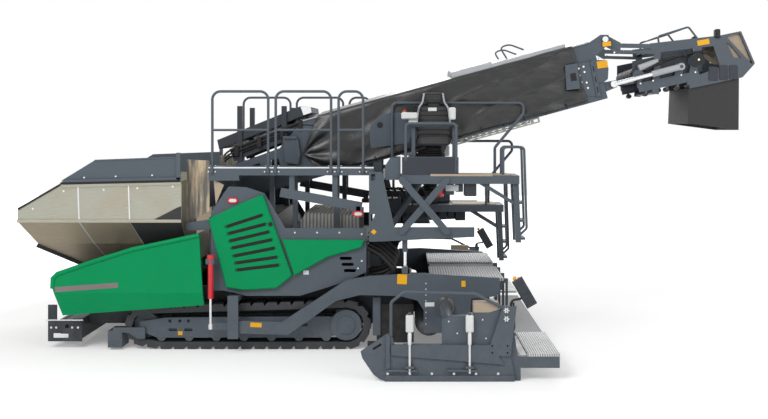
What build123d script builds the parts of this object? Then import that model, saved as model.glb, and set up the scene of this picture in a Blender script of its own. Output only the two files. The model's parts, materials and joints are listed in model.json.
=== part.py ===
from build123d import *
import os
from math import asin, atan2, cos, hypot, pi, radians, sin

# Asphalt paver on tracks with a hopper insert and a transfer conveyor over the machine.
# Millimetres. X runs from the hopper in front to the discharge head behind, Y to the far side, Z up.

# Tracks
TRACK_OUT = 1250
TRACK_WIDTH = 305
SPROCKET_X = -712
SPROCKET_R = 230
IDLER_X = -3430
IDLER_Z = 310
IDLER_R = 170
ROLLER_X = -3210
ROLLER_R = 65
ROLLER_COUNT = 7
ROLLER_GAP = 6
LINK_H = 60
PAD_H = 40
SHOE_PITCH = 180
FRAME_INSET = 10
DEFLECTOR_GAP = 30
DEFLECTOR_L = 190
DEFLECTOR_LOW = 30
DEFLECTOR_SIDE = 12
DEFLECTOR_T = 28

# Chassis
RAIL_OUT = 880
RAIL_T = 40
RAIL_FRONT = -4300
RAIL_REAR = 180
RAIL_BOTTOM = 280
RAIL_TOP = 800
WALL_T = 30

# Engine hood and its side panels
HOOD_FRONT = -2560
HOOD_REAR = -440
HOOD_HIGH = 1780
HOOD_LOW = 1450
HOOD_T = 25
PANEL_T = 30
PANEL_OUT = 1300
DOOR_GAP = 5
DOOR_T = 60
FIN_T = 60
SLOT_H = 46
EDGE_CUT = 16
COOLER_FRONT = -1430
COOLER_REAR = -560
COOLER_HALF = 790
COOLER_TOP = 1790
RIB_COUNT = 16
RIB_H = 16

# Hopper
WING_OUT = 1500
WING_T = 60
WING_BEND_Z = 800
INSERT_FRONT = -5050
INSERT_REAR = -2880
INSERT_HALF = 1500
INSERT_BOTTOM = 1050
INSERT_KNEE = 1745
INSERT_RIM = 2290
INSERT_WALL = 12
BOARD_TOP = 2590

# Push beam
PUSH_X = -4570
PUSH_Z = 250
PUSH_HALF = 1060
PUSH_ROLLER_R = 75
PUSH_PIN_R = 45

# Deck walkways and railings
DECK_TOP = 2460
DECK_T = 110
DECK_FRONT = -2560
DECK_REAR = -340
DECK_OUT = 1310
DECK_IN = 760
RAIL_TOP_Z = 3480
RAIL_MID_Z = 2960
RAIL_TUBE_R = 18
RAIL_BEND = 110

# Gantry behind the tractor
GANTRY_OUT = 1400
GANTRY_T = 50
GANTRY_X0 = -400
GANTRY_X1 = -60
GANTRY_TOP = 2400
BAR_BOTTOM = 1530
BAR_TOP = 1660
BAR_REAR = 1010
BEAM_TOP = 2340

# Operator platforms on scissor lifts
LIFT_TRAVEL = 550
FLOOR_TOP = 2350
FLOOR_T = 110
FLOOR_X0 = 15
FLOOR_X1 = 1610
FLOOR_IN = 720
ARM_PIN_X = 45
ARM_LENGTH = 900
ARM_W = 90
ARM_T = 20
ARM_GAP = 5
ARM_PIN_R = 24
LOW_PIN_Z = 1610
HIGH_PIN_Z = 2235

# Conveyor boom: s runs up along the boom from its pivot, t is square to it
BOOM_X = -2450
BOOM_Z = 2060
BOOM_ANGLE = 15.3
BOOM_HALF = 640
BOOM_LOW = -123
BOOM_HIGH = 700
BOOM_TAIL = -300
BOOM_END = 5560
BEAM_T = 60
BEAM_H = 240
BOARD_T = 20
DRUM_R = 110
BELT_T = 20
BELT_HALF = 480
LID_RISE = 65
GUARD_START = 3300
GUARD_END = 4560
GUARD_H = 77
GUARD_PITCH = 104
PIN_R = 40
PIN_GAP = 0.5

# Discharge head
HEAD_X = 2909
HEAD_Z = 4240
HEAD_OUT = 570
HEAD_T = 40

# Screed
TOW_X = -2200
TOW_Z = 340
ARM_IN = 1380
ARM_OUT = 1450
SCREED_FRONT = 640
SCREED_REAR = 1030
SCREED_HALF = 1500
SCREED_H = 260
TUBE_X = 612
TUBE_Z = 615
TUBE_R = 100
INNER_R = 70
EXT_FRONT = 1060
EXT_REAR = 1450
EXT_H = 290
EXT_IN = 1430
EXT_TRAVEL = 1320
GATE_IN = 2920
GATE_T = 25
WALK_FRONT = 1520
WALK_REAR = 1911
WALK_TOP = 270
WALK_T = 40
WALK_HALF = 1485
CENTRE_HALF = 240

# Augers
AUGER_X = 395
AUGER_Z = 360
AUGER_R = 180
AUGER_SHAFT_R = 45
AUGER_END = 1360
AUGER_PITCH = 300
FLIGHT_T = 14
CASE_HALF = 70

SPROCKET_Z = SPROCKET_R + LINK_H + PAD_H
ROLLER_Z = ROLLER_R + LINK_H + PAD_H
ANGLE = radians(BOOM_ANGLE)

os.makedirs("parts", exist_ok=True)


def block(x, y, z):
    """Box between the two ends of each range."""
    size = Box(abs(x[1] - x[0]), abs(y[1] - y[0]), abs(z[1] - z[0]))
    return Pos((x[0] + x[1]) / 2, (y[0] + y[1]) / 2, (z[0] + z[1]) / 2) * size


def plate(points, y0, y1):
    """Outline of (x, z) points, as thick as the way from y0 to y1."""
    low, high = min(y0, y1), max(y0, y1)
    face = make_face(Polyline(*[(x, low, z) for x, z in points], close=True))
    return extrude(face, high - low, dir=(0, 1, 0))


def pin(x, z, y0, y1, r):
    """Round bar along Y."""
    low, high = min(y0, y1), max(y0, y1)
    return Pos(x, (low + high) / 2, z) * Rot(90, 0, 0) * Cylinder(r, high - low)


def rod(a, b, r):
    """Round bar from point a to point b."""
    way = Vector(*b) - Vector(*a)
    spot = Plane(origin=Vector(*a), z_dir=way)
    return spot * Pos(0, 0, way.length / 2) * Cylinder(r, way.length)


def bar(a, b, width, y0, y1):
    """Flat bar between two (x, z) points."""
    length = hypot(b[0] - a[0], b[1] - a[1])
    nx, nz = -(b[1] - a[1]) / length * width / 2, (b[0] - a[0]) / length * width / 2
    corners = [
        (a[0] + nx, a[1] + nz),
        (b[0] + nx, b[1] + nz),
        (b[0] - nx, b[1] - nz),
        (a[0] - nx, a[1] - nz),
    ]
    return plate(corners, y0, y1)


def slot(a, b, width, y0, y1):
    """Round-ended bar between two (x, z) points, to cut a slot with."""
    return fuse(bar(a, b, width, y0, y1), pin(*a, y0, y1, width / 2), pin(*b, y0, y1, width / 2))


def pressed(points, y0, y1):
    """Plate like a pressed panel: the edges of its outer face, at y1, are cut off at a slant."""
    blank = plate(points, y0, y1)
    return chamfer(blank.faces().sort_by(Axis.Y)[0].outer_wire().edges(), EDGE_CUT)


def tube(points, r, bend):
    """Bent round tube, as a solid rod, through points."""
    path = FilletPolyline(*points, radius=bend)
    return sweep(Plane(origin=path @ 0, z_dir=path % 0) * Circle(r), path=path)


def fuse(*shapes):
    """One solid of several overlapping ones."""
    first, rest = shapes[0], list(shapes[1:])
    return first.fuse(*rest) if rest else first


def both(shape):
    """The left piece and its mirror image on the right."""
    return [shape, mirror(shape, about=Plane.XZ)]


def save(name, *shapes):
    """Write one node, with every solid of the shapes given."""
    solids = [solid for shape in shapes for solid in shape.solids()]
    whole = solids[0] if len(solids) == 1 else Compound(children=solids)
    export_step(whole, f"parts/{name}.step")


def on_boom(s, t):
    """Point (x, z) at s along the boom and t square to it."""
    return (BOOM_X + s * cos(ANGLE) - t * sin(ANGLE), BOOM_Z + s * sin(ANGLE) + t * cos(ANGLE))


def along(start, unit, way, y):
    """Point at a distance from a start point (x, z) along a unit direction."""
    return (start[0] + unit[0] * way, y, start[1] + unit[1] * way)


def boom_plate(points, y0, y1):
    """Plate whose outline is given along the boom."""
    return plate([on_boom(s, t) for s, t in points], y0, y1)


def boom_box(s, t, y):
    """Box whose ranges are given along the boom."""
    corners = [(s[0], t[0]), (s[1], t[0]), (s[1], t[1]), (s[0], t[1])]
    return boom_plate(corners, y[0], y[1])


# Tracks: rigid shoes along the hull of the sprocket, the idler and the first road roller

def track_stations():
    """Middle point and outward normal of every shoe, going round the loop."""
    wheels = [
        (ROLLER_X, ROLLER_Z, ROLLER_R + LINK_H),
        (SPROCKET_X, SPROCKET_Z, SPROCKET_R + LINK_H),
        (IDLER_X, IDLER_Z, IDLER_R + LINK_H),
    ]
    angles = []
    for (ax, az, ar), (bx, bz, br) in zip(wheels, wheels[1:] + wheels[:1]):
        lean = asin((ar - br) / hypot(bx - ax, bz - az))
        angles.append(atan2(bz - az, bx - ax) - pi / 2 + lean)
    runs = []
    for i, (x, z, r) in enumerate(wheels):
        start, end = angles[i - 1], angles[i]
        while end < start:
            end += 2 * pi
        runs.append((r * (end - start), "arc", x, z, r, start))
        nx, nz, nr = wheels[(i + 1) % 3]
        a = (x + r * cos(end), z + r * sin(end))
        b = (nx + nr * cos(end), nz + nr * sin(end))
        runs.append((hypot(b[0] - a[0], b[1] - a[1]), "line", a, b, end))
    total = sum(run[0] for run in runs)
    count = round(total / SHOE_PITCH)
    stations = []
    for i in range(count):
        way = (i + 0.5) * total / count
        for run in runs:
            if way <= run[0]:
                break
            way -= run[0]
        if run[1] == "arc":
            turn = run[5] + way / run[4]
            stations.append((run[2] + run[4] * cos(turn), run[3] + run[4] * sin(turn), turn))
        else:
            share = way / run[0]
            (ax, az), (bx, bz) = run[2], run[3]
            stations.append((ax + (bx - ax) * share, az + (bz - az) * share, run[4]))
    return stations, total / count


def track_loop():
    """Left track: its outline steps round every shoe, its inside follows the links."""
    stations, pitch = track_stations()
    outer, inner = [], []
    for x, z, turn in stations:
        nx, nz = cos(turn), sin(turn)
        tx, tz = -nz, nx
        for along, out in ((-0.47, 0), (-0.4, PAD_H), (0.3, PAD_H), (0.47, 0)):
            height = max(0, z + tz * along * pitch + nz * out)
            outer.append((x + tx * along * pitch + nx * out, height))
        for along in (-0.3, 0.3):
            inner.append((x + tx * along * pitch - nx * LINK_H, z + tz * along * pitch - nz * LINK_H))
    low, high = -TRACK_OUT, -(TRACK_OUT - TRACK_WIDTH)
    return plate(outer, low, high) - plate(inner, low, high)


track_left = track_loop()
save("track_left", track_left)
save("track_right", mirror(track_left, about=Plane.XZ))

# Track frames with their road rollers, carrier rollers, idler and final drive
frame_out = -(TRACK_OUT - FRAME_INSET)
frame_in = -(TRACK_OUT - TRACK_WIDTH + FRAME_INSET)
cheek_t = 25
roller_step = (SPROCKET_X - 270 - ROLLER_X) / (ROLLER_COUNT - 1)
cheek = [
    (IDLER_X - 70, IDLER_Z - 60),
    (IDLER_X - 70, IDLER_Z + 60),
    (ROLLER_X + 60, 425),
    (SPROCKET_X - 260, 440),
    (SPROCKET_X, SPROCKET_Z + 90),
    (SPROCKET_X, SPROCKET_Z - 90),
    (SPROCKET_X - 250, ROLLER_Z - 10),
    (ROLLER_X - 60, ROLLER_Z - 10),
]
track_frame = fuse(
    plate(cheek, frame_out, frame_out + cheek_t),
    plate(cheek, frame_in - cheek_t, frame_in),
    block((ROLLER_X + 80, SPROCKET_X - 280), (frame_out, frame_in), (ROLLER_Z + 80, 420)),
    pin(IDLER_X, IDLER_Z, frame_out, frame_in, 40),
    pin(SPROCKET_X, SPROCKET_Z, frame_out, frame_in, 80),
)
for i in range(ROLLER_COUNT):
    x = ROLLER_X + i * roller_step
    track_frame = track_frame + pin(x, ROLLER_Z, frame_out + 5, frame_in - 5, ROLLER_R - ROLLER_GAP)

middle = (frame_out + frame_in) / 2
teeth = []
for i in range(26):
    turn = 2 * pi * i / 26
    reach = SPROCKET_R - PIN_GAP if i % 2 else SPROCKET_R - 28
    teeth.append((SPROCKET_X + reach * cos(turn), SPROCKET_Z + reach * sin(turn)))
sprocket = plate(teeth, middle - 35, middle + 35)
final_drive = fuse(
    pin(SPROCKET_X, SPROCKET_Z, frame_out, frame_out - 30, 205),
    pin(SPROCKET_X, SPROCKET_Z, frame_out - 30, frame_out - 42, 120),
)
idler = pin(IDLER_X, IDLER_Z, middle - 60, middle + 60, IDLER_R - PIN_GAP)

# Holes and slots of the outer cheek: way from the first roller, height, and half the slot's length
cheek_holes = [(116, 379, 0), (251, 379, 0), (365, 379, 0), (156, 261, 38), (365, 261, 38), (1900, 330, 60)]
for way, z, half in cheek_holes:
    x = ROLLER_X + way
    if half:
        hole = slot((x - half, z), (x + half, z), 40, frame_out - 5, frame_out + 40)
    else:
        hole = pin(x, z, frame_out - 5, frame_out + 40, 23)
    track_frame = track_frame - hole

# Deflector in front of the track, on an arm outside it that is carried by the idler's cheek
track_front = IDLER_X - IDLER_R - LINK_H - PAD_H
deflector_x = (track_front - DEFLECTOR_GAP - DEFLECTOR_L, track_front - DEFLECTOR_GAP)
deflector_y = (-TRACK_OUT - DEFLECTOR_SIDE - DEFLECTOR_T, -TRACK_OUT - DEFLECTOR_SIDE)
deflector_arm = [
    (deflector_x[0] + 70, IDLER_Z - 10),
    (IDLER_X + 10, IDLER_Z - 10),
    (IDLER_X + 10, IDLER_Z - 160),
    (IDLER_X - 90, IDLER_Z - 160),
    (IDLER_X - 210, IDLER_Z - 85),
    (deflector_x[0] + 70, IDLER_Z - 60),
]
deflector = fuse(
    plate(deflector_arm, *deflector_y),
    pin(IDLER_X - 20, IDLER_Z - 35, deflector_y[0], frame_out + 5, 30),
    block(deflector_x, (deflector_y[0], frame_in), (DEFLECTOR_LOW, IDLER_Z - 54)),
)
save("track_frames", *both(fuse(track_frame, final_drive, sprocket, idler, deflector)))

# Hopper wings: folded sheet with a rim, on brackets of the chassis
wing_outline = [
    (-4482, 488),
    (-4590, 860),
    (-4585, 990),
    (-4526, 1050),
    (-4020, 1224),
    (-3526, 1377),
    (-2648, 1563),
    (-2592, 631),
]
fold = [
    (-WING_OUT, 1700),
    (-WING_OUT + WING_T, 1700),
    (-WING_OUT + WING_T, WING_BEND_Z),
    (-WING_OUT + WING_T + 90, 470),
    (-WING_OUT + 90, 470),
    (-WING_OUT, WING_BEND_Z),
]
fold_face = make_face(Polyline(*[(-4700, y, z) for y, z in fold], close=True))
wing_sheet = extrude(fold_face, 2200, dir=(1, 0, 0))
wing = wing_sheet & plate(wing_outline, -WING_OUT - 50, -WING_OUT + 250)
for a, b in zip(wing_outline[1:6], wing_outline[2:7]):
    wing = wing + rod((a[0], -WING_OUT + 10, a[1]), (b[0], -WING_OUT + 10, b[1]), 32)
for a in wing_outline[2:6]:
    wing = wing + Pos(a[0], -WING_OUT + 10, a[1]) * Sphere(32)
save("hopper_wings", *both(wing))

# Hopper insert: a sheet steel funnel, open above, its rear wall open to the conveyor
def funnel(grow):
    """Loft of the insert's outside (grow 0) or inside (grow below 0)."""
    levels = [
        (INSERT_BOTTOM - grow, -4330, -2960, 690),
        (1420, -4900, INSERT_REAR, 1180),
        (INSERT_KNEE, INSERT_FRONT, INSERT_REAR, INSERT_HALF),
        (INSERT_RIM - grow * 10, INSERT_FRONT, INSERT_REAR, INSERT_HALF),
    ]
    whole = None
    for (z0, a0, b0, h0), (z1, a1, b1, h1) in zip(levels, levels[1:]):
        rings = []
        for z, a, b, h in ((z0, a0, b0, h0), (z1, a1, b1, h1)):
            front, rear, half = a - grow, b + grow, h + grow
            corners = [(front, -half), (rear, -half), (rear, half), (front, half)]
            rings.append(Pos(0, 0, z) * make_face(Polyline(*corners, close=True)))
        piece = loft(rings, ruled=True)
        whole = piece if whole is None else whole + piece
    return whole


insert = funnel(0) - funnel(-INSERT_WALL)
front_cut = [(INSERT_FRONT - 50, 1900), (-4470, 2240), (-4470, 2700), (INSERT_FRONT - 50, 2700)]
insert = insert - plate(front_cut, -1700, 1700)
insert = insert - block((INSERT_REAR - 60, INSERT_REAR + 60), (-560, 560), (1480, 2120))
for side in (-1, 1):
    y0, y1 = side * INSERT_HALF, side * (INSERT_HALF + 25)
    rim = [(-4470, 2240), (-4470, 2200), (INSERT_REAR, INSERT_RIM - 50), (INSERT_REAR, INSERT_RIM)]
    insert = insert + plate(rim, y0, y1)
    insert = insert + block((INSERT_FRONT, INSERT_REAR), (y0, y1), (INSERT_KNEE - 10, INSERT_KNEE + 30))
save("mix_hopper", insert)

# Boards that raise the sides of the insert, and the lining at its rear corner
board_line = [(-4470, INSERT_RIM), (-4020, BOARD_TOP - 25), (-2930, BOARD_TOP), (-2900, INSERT_RIM)]
boards = plate(board_line, -INSERT_HALF, -INSERT_HALF + 40)
save("hopper_boards", *both(boards))

liner = fuse(
    plate([(INSERT_REAR, 1700), (INSERT_REAR, 2560), (-2570, 2545), (-2570, 1860)], -1190, -1175),
    block((INSERT_REAR, INSERT_REAR + 20), (-1190, -1000), (1800, 2260)),
)
save("throat_plates", *both(liner))

# Chassis frame with bumper, stubs to the track frames and saddles for the hopper insert
chassis = [
    block((RAIL_FRONT, RAIL_REAR), (-RAIL_OUT, RAIL_OUT), (RAIL_BOTTOM, RAIL_BOTTOM + 25)),
]
wing_sheets = fuse(*both(wing_sheet))
for side in (-1, 1):
    rail_y = (side * RAIL_OUT, side * (RAIL_OUT - RAIL_T))
    chassis.append(block((RAIL_FRONT, RAIL_REAR), rail_y, (RAIL_BOTTOM, RAIL_TOP)))
    for x0, x1 in ((-3000, -2700), (-1500, -1200)):
        chassis.append(block((x0, x1), (side * (RAIL_OUT - 5), -side * frame_in), (250, 410)))
    plate_y = (side * 1175, side * 1200)
    end_plate = block((-4758, -4300), plate_y, (96, 380)) + block((-4758, -4640), plate_y, (370, 590))
    end_plate = end_plate - pin(-4500, 300, plate_y[0] - side * 5, plate_y[1] + side * 5, 30)
    end_plate = end_plate - block((-4690, -4480), (side * 1170, side * 1205), (140, 205))
    chassis.append(end_plate)
    for x in (-3990, -2950):
        bracket = block((x, x + 90), (side * (RAIL_OUT - 5), side * 1440), (690, 760))
        chassis.append(bracket - wing_sheets)
for x in (RAIL_FRONT, HOOD_FRONT, HOOD_REAR - WALL_T, RAIL_REAR - WALL_T):
    chassis.append(block((x, x + WALL_T), (-RAIL_OUT, RAIL_OUT), (RAIL_BOTTOM, RAIL_TOP)))
chassis.append(block((-4430, RAIL_FRONT), (-1180, 1180), (130, 400)))
chassis.append(block((PUSH_X - 60, -4420), (-120, 120), (PUSH_Z - 140, PUSH_Z - 90)))
chassis.append(block((PUSH_X - 60, -4420), (-120, 120), (PUSH_Z + 90, PUSH_Z + 140)))
chassis.append(Pos(PUSH_X, 0, PUSH_Z) * Cylinder(PUSH_PIN_R, 260))
for x in (-4150, -3150):
    chassis.append(block((x, x + 120), (-RAIL_OUT, RAIL_OUT), (RAIL_TOP - 40, RAIL_TOP + 40)))
    chassis.append(block((x, x + 120), (-600, 600), (RAIL_TOP, INSERT_BOTTOM)))
case = fuse(
    block((RAIL_REAR, AUGER_X + 60), (-CASE_HALF, CASE_HALF), (290, 760)),
    pin(AUGER_X, AUGER_Z, -CASE_HALF, CASE_HALF, 90),
    pin(AUGER_X, AUGER_Z, -CASE_HALF - 60, CASE_HALF + 60, 20),
)
chassis_frame = fuse(*chassis, case)
save("chassis_frame", chassis_frame)

# Push beam that swings on its middle pin, with two free rollers
push = fuse(
    block((PUSH_X - 60, PUSH_X + 70), (-PUSH_HALF, PUSH_HALF), (PUSH_Z - 80, PUSH_Z + 80)),
    block((PUSH_X - 170, PUSH_X), (-PUSH_HALF, -PUSH_HALF + 20), (PUSH_Z - 70, PUSH_Z + 70)),
    block((PUSH_X - 170, PUSH_X), (PUSH_HALF - 20, PUSH_HALF), (PUSH_Z - 70, PUSH_Z + 70)),
    block((PUSH_X - 170, PUSH_X), (-15, 15), (PUSH_Z - 70, PUSH_Z + 70)),
)
push = push - Pos(PUSH_X, 0, PUSH_Z) * Cylinder(PUSH_PIN_R + PIN_GAP, 300)
roller_x = PUSH_X - 135
for side in (-1, 1):
    push = push + pin(roller_x, PUSH_Z, side * (PUSH_HALF - 10), 0, 25)
save("push_beam", push)
push_roller = pin(roller_x, PUSH_Z, -PUSH_HALF + 26, -21, PUSH_ROLLER_R)
push_roller = push_roller - pin(roller_x, PUSH_Z, -PUSH_HALF, 0, 25 + PIN_GAP)
save("push_roller_left", push_roller)
save("push_roller_right", mirror(push_roller, about=Plane.XZ))

# Engine hood, the engine under it and the stands of the boom pivot
hood_line = [
    (HOOD_FRONT, RAIL_TOP),
    (HOOD_FRONT, HOOD_HIGH),
    (-1700, HOOD_HIGH),
    (-1500, HOOD_LOW),
    (HOOD_REAR, HOOD_LOW),
    (HOOD_REAR, RAIL_TOP),
]
hood_core = [
    (HOOD_FRONT + HOOD_T, RAIL_TOP - 50),
    (HOOD_FRONT + HOOD_T, HOOD_HIGH - HOOD_T),
    (-1715, HOOD_HIGH - HOOD_T),
    (-1515, HOOD_LOW - HOOD_T),
    (HOOD_REAR - HOOD_T, HOOD_LOW - HOOD_T),
    (HOOD_REAR - HOOD_T, RAIL_TOP - 50),
]
hood_half = PANEL_OUT - PANEL_T
hood = plate(hood_line, -hood_half, hood_half) - plate(hood_core, -hood_half - 5, hood_half + 5)
stand_line = [(-2555, HOOD_HIGH - 10), (-2555, 2080), (-2490, 2130), (-2400, 2130), (-2150, HOOD_HIGH - 10)]
stand = plate(stand_line, -BOOM_HALF - 20, -BOOM_HALF - 60)
stand = stand - pin(BOOM_X, BOOM_Z, -BOOM_HALF, -BOOM_HALF - 80, PIN_R + PIN_GAP)
save("engine_hood", fuse(hood, *both(stand)))

# Ribbed cover of the coolers behind the hood's step
cooler_line = [
    (COOLER_FRONT, HOOD_LOW),
    (COOLER_FRONT, COOLER_TOP - 170),
    (COOLER_FRONT + 120, COOLER_TOP),
    (COOLER_REAR, COOLER_TOP - 40),
    (COOLER_REAR, HOOD_LOW),
]
rib_line = [
    (COOLER_FRONT + 20, COOLER_TOP - 170),
    (COOLER_FRONT + 115, COOLER_TOP + RIB_H),
    (COOLER_REAR, COOLER_TOP - 40 + RIB_H),
    (COOLER_REAR, COOLER_TOP - 170),
]
cooler = plate(cooler_line, -COOLER_HALF, COOLER_HALF)
rib_step = 2 * COOLER_HALF / RIB_COUNT
for i in range(RIB_COUNT):
    y = -COOLER_HALF + (i + 0.5) * rib_step
    cooler = cooler + plate(rib_line, y - rib_step / 5, y + rib_step / 5)
save("cooler_cover", cooler)

engine = fuse(
    block((-2100, -900), (-420, 420), (RAIL_BOTTOM + 25, 1250)),
    block((-1900, -1100), (-300, 300), (1200, 1380)),
)
save("engine_block", engine)

panel = [
    (-2530, 800),
    (-2530, 1850),
    (-2295, 2200),
    (-2053, 2190),
    (-1811, 2110),
    (-1530, 1640),
    (HOOD_REAR, 1640),
    (HOOD_REAR, 1050),
    (-725, 916),
    (-1331, 730),
    (-2053, 730),
    (-2350, 800),
]
side_panel = plate(panel, -PANEL_OUT, -PANEL_OUT + PANEL_T)
for x, z in ((-715, 1233), (-690, 1152), (-660, 1068)):
    side_panel = side_panel - slot((x - 60, z), (x + 60, z), 44, -PANEL_OUT - 5, -PANEL_OUT + PANEL_T + 5)

# Green engine doors, hinged along their sloping upper edge
door_line = [(-2553, 1765), (-1821, 2096), (-1430, 1007), (-1634, 837), (-2095, 811), (-2315, 845)]
door_y = (-PANEL_OUT - DOOR_GAP, -PANEL_OUT - DOOR_GAP - DOOR_T)
door = pressed(door_line, *door_y)

# Air slots of the door, from above: front end x, rear end x, front end z, rear end z
slots = [
    (-2330, -1815, 1664, 1818),
    (-2305, -1770, 1571, 1698),
    (-2285, -1722, 1472, 1596),
    (-2258, -1684, 1378, 1490),
    (-2231, -1649, 1272, 1378),
    (-2205, -1614, 1178, 1258),
    (-2191, -1592, 1085, 1151),
]
for x0, x1, z0, z1 in slots:
    door = door - slot((x0 + 20, z0), (x1 - 20, z1), SLOT_H, door_y[1] - 5, door_y[1] + 25)
hinge_a, hinge_b = (-2500, 1789), (-1870, 2074)
hinge_y = door_y[0] - 14
hinge_len = hypot(hinge_b[0] - hinge_a[0], hinge_b[1] - hinge_a[1])
hinge_u = ((hinge_b[0] - hinge_a[0]) / hinge_len, (hinge_b[1] - hinge_a[1]) / hinge_len)
door = door + rod((hinge_a[0], hinge_y, hinge_a[1]), (hinge_b[0], hinge_y, hinge_b[1]), 12)
for way in (100, 550):
    a = along(hinge_a, hinge_u, way - PIN_GAP, hinge_y)
    b = along(hinge_a, hinge_u, way + 60 + PIN_GAP, hinge_y)
    door = door - rod(a, b, 26)
    a = along(hinge_a, hinge_u, way, hinge_y)
    b = along(hinge_a, hinge_u, way + 60, hinge_y)
    side_panel = side_panel + rod(a, b, 19.5)
save("side_panels", *both(side_panel))
save("engine_door_left", door)
save("engine_door_right", mirror(door, about=Plane.XZ))

fin_line = [(-1566, 1490), (-459, 1484), (-500, 1382), (-952, 1254), (-1410, 1000), (-1422, 1060)]
fin = pressed(fin_line, -PANEL_OUT, -PANEL_OUT - FIN_T)
save("side_fins", *both(fin))

# Tow posts with the guides of the tow blocks, and the levelling barrels
post = fuse(
    block((-2270, -2130), (-1500, -1470), (190, 760)),
    block((-2270, -2130), (-1500, -RAIL_OUT), (680, 740)),
)
LEVEL_X = -2500
LEVEL_Y = -1463
BARREL_R = 38
LEVEL_ROD_R = 20
level_bracket = fuse(
    block((HOOD_FRONT, -2531), (-1440, -hood_half), (1180, 1250)),
    block((HOOD_FRONT, -2450), (-1500, -1400), (1180, 1250)),
)
level_bracket = level_bracket - Pos(LEVEL_X, LEVEL_Y, 1200) * Cylinder(BARREL_R + PIN_GAP, 300)
save("tow_posts", *both(post), *both(level_bracket))
level_barrel = fuse(
    Pos(LEVEL_X, LEVEL_Y, (720 + 1290) / 2) * Cylinder(BARREL_R, 570),
    Pos(LEVEL_X, LEVEL_Y, 1275) * Cylinder(BARREL_R + 12, 50),
)
level_barrel = level_barrel - Pos(LEVEL_X, LEVEL_Y, 900) * Cylinder(LEVEL_ROD_R + PIN_GAP, 600)
save("levelling_barrels", *both(level_barrel))
tow_block = fuse(
    block((-2265, -2135), (-1469, -1456), (250, 430)),
    block((LEVEL_X - 30, -2200), (-1469, -1456), (310, 390)),
    pin(TOW_X, TOW_Z, -1460, -ARM_IN + 5, PIN_R),
    Pos(LEVEL_X, LEVEL_Y, (330 + 950) / 2) * Cylinder(LEVEL_ROD_R, 620),
    Pos(LEVEL_X, LEVEL_Y, 350) * Cylinder(34, 70),
)
save("tow_blocks", *both(tow_block))

# Deck walkways beside the boom, their posts, and the railings
deck = block((DECK_FRONT, DECK_REAR), (-DECK_OUT, -DECK_IN), (DECK_TOP - DECK_T, DECK_TOP))
deck_hollow = ((DECK_FRONT + 60, DECK_REAR - 60), (-DECK_OUT + 60, -DECK_IN - 60))
deck = deck - block(*deck_hollow, (DECK_TOP - DECK_T - 5, DECK_TOP - 10))
deck_parts = [deck, block((DECK_FRONT, -2150), (-DECK_OUT, -DECK_OUT + 60), (2280, DECK_TOP))]
for x, z in ((-2330, HOOD_HIGH), (-1800, HOOD_HIGH), (-1480, HOOD_LOW), (-900, HOOD_LOW)):
    deck_parts.append(block((x, x + 70), (-DECK_IN - 120, -DECK_IN - 60), (z, DECK_TOP - 5)))
    deck_parts.append(block((x, x + 70), (-DECK_OUT + 20, -DECK_IN), (DECK_TOP - 70, DECK_TOP - 5)))

# Sloping brace under the deck's outer edge, on two hangers below the cross bars
brace_y = (-DECK_OUT + 40, -DECK_OUT + 75)
deck_parts.append(bar((-1600, 2120), (-500, 1924), 125, *brace_y))
for x, z in ((-1480, 2080), (-900, 1975)):
    deck_parts.append(block((x, x + 70), brace_y, (z, DECK_TOP - 40)))
save("walkways", *both(fuse(*deck_parts)))
railing = []
for x0, x1 in ((-2514, -1761), (-1660, -914), (-813, -483)):
    y = -DECK_OUT + 30
    hoop_line = [(x0, y, DECK_TOP), (x0, y, RAIL_TOP_Z), (x1, y, RAIL_TOP_Z), (x1, y, DECK_TOP)]
    hoop = tube(hoop_line, RAIL_TUBE_R, RAIL_BEND)
    railing.append(hoop + rod((x0, y, RAIL_MID_Z), (x1, y, RAIL_MID_Z), RAIL_TUBE_R - 2))
save("railings", *[piece for hoop in railing for piece in both(hoop)])

# Gantry: side frames, feet on the chassis, cross beams under the boom
gantry_in = GANTRY_OUT - GANTRY_T
side_frame = plate(
    [
        (GANTRY_X0, BAR_BOTTOM - 60),
        (GANTRY_X0, GANTRY_TOP),
        (GANTRY_X0 + 170, GANTRY_TOP),
        (GANTRY_X1, BAR_TOP),
        (BAR_REAR, BAR_TOP),
        (BAR_REAR, BAR_BOTTOM),
        (GANTRY_X0 + 120, BAR_BOTTOM - 60),
    ],
    -GANTRY_OUT,
    -gantry_in,
)
for z in (2330, 1790):
    side_frame = side_frame - block((-372, -318), (-GANTRY_OUT - 5, -gantry_in + 5), (z - 45, z + 45))
LIFT_X = 80
LIFT_Z = 1595
LIFT_Y = -1300
side_frame = side_frame + pin(LIFT_X, LIFT_Z, -gantry_in - 5, LIFT_Y + 25, 25)
arm_pin_y = (-GANTRY_OUT + 5, -GANTRY_OUT - ARM_GAP - ARM_T)
side_frame = side_frame + pin(ARM_PIN_X, LOW_PIN_Z, *arm_pin_y, ARM_PIN_R)
gantry_parts = [*both(side_frame)]
beam_y = (-gantry_in - 5, gantry_in + 5)
gantry_parts.append(block((GANTRY_X0, GANTRY_X0 + 120), beam_y, (1470, BAR_TOP - 40)))
gantry_parts.append(block((GANTRY_X0 + 20, GANTRY_X0 + 160), beam_y, (BEAM_TOP - 140, BEAM_TOP)))
for side in (-1, 1):
    foot_y = (side * (RAIL_OUT - 100), side * RAIL_OUT)
    gantry_parts.append(block((GANTRY_X0, GANTRY_X0 + 120), foot_y, (RAIL_TOP, 1480)))
FOOT_X = -120
FOOT_Z = 1600
FOOT_Y = -540
for side in (-1, 1):
    lug_y = (side * 590, side * 615)
    gantry_parts.append(block((GANTRY_X0 + 110, FOOT_X + 40), lug_y, (1540, BAR_TOP - 40)))
    gantry_parts.append(pin(FOOT_X, FOOT_Z - 15, side * 500, side * 600, 25))
save("gantry", fuse(*gantry_parts))

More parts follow.
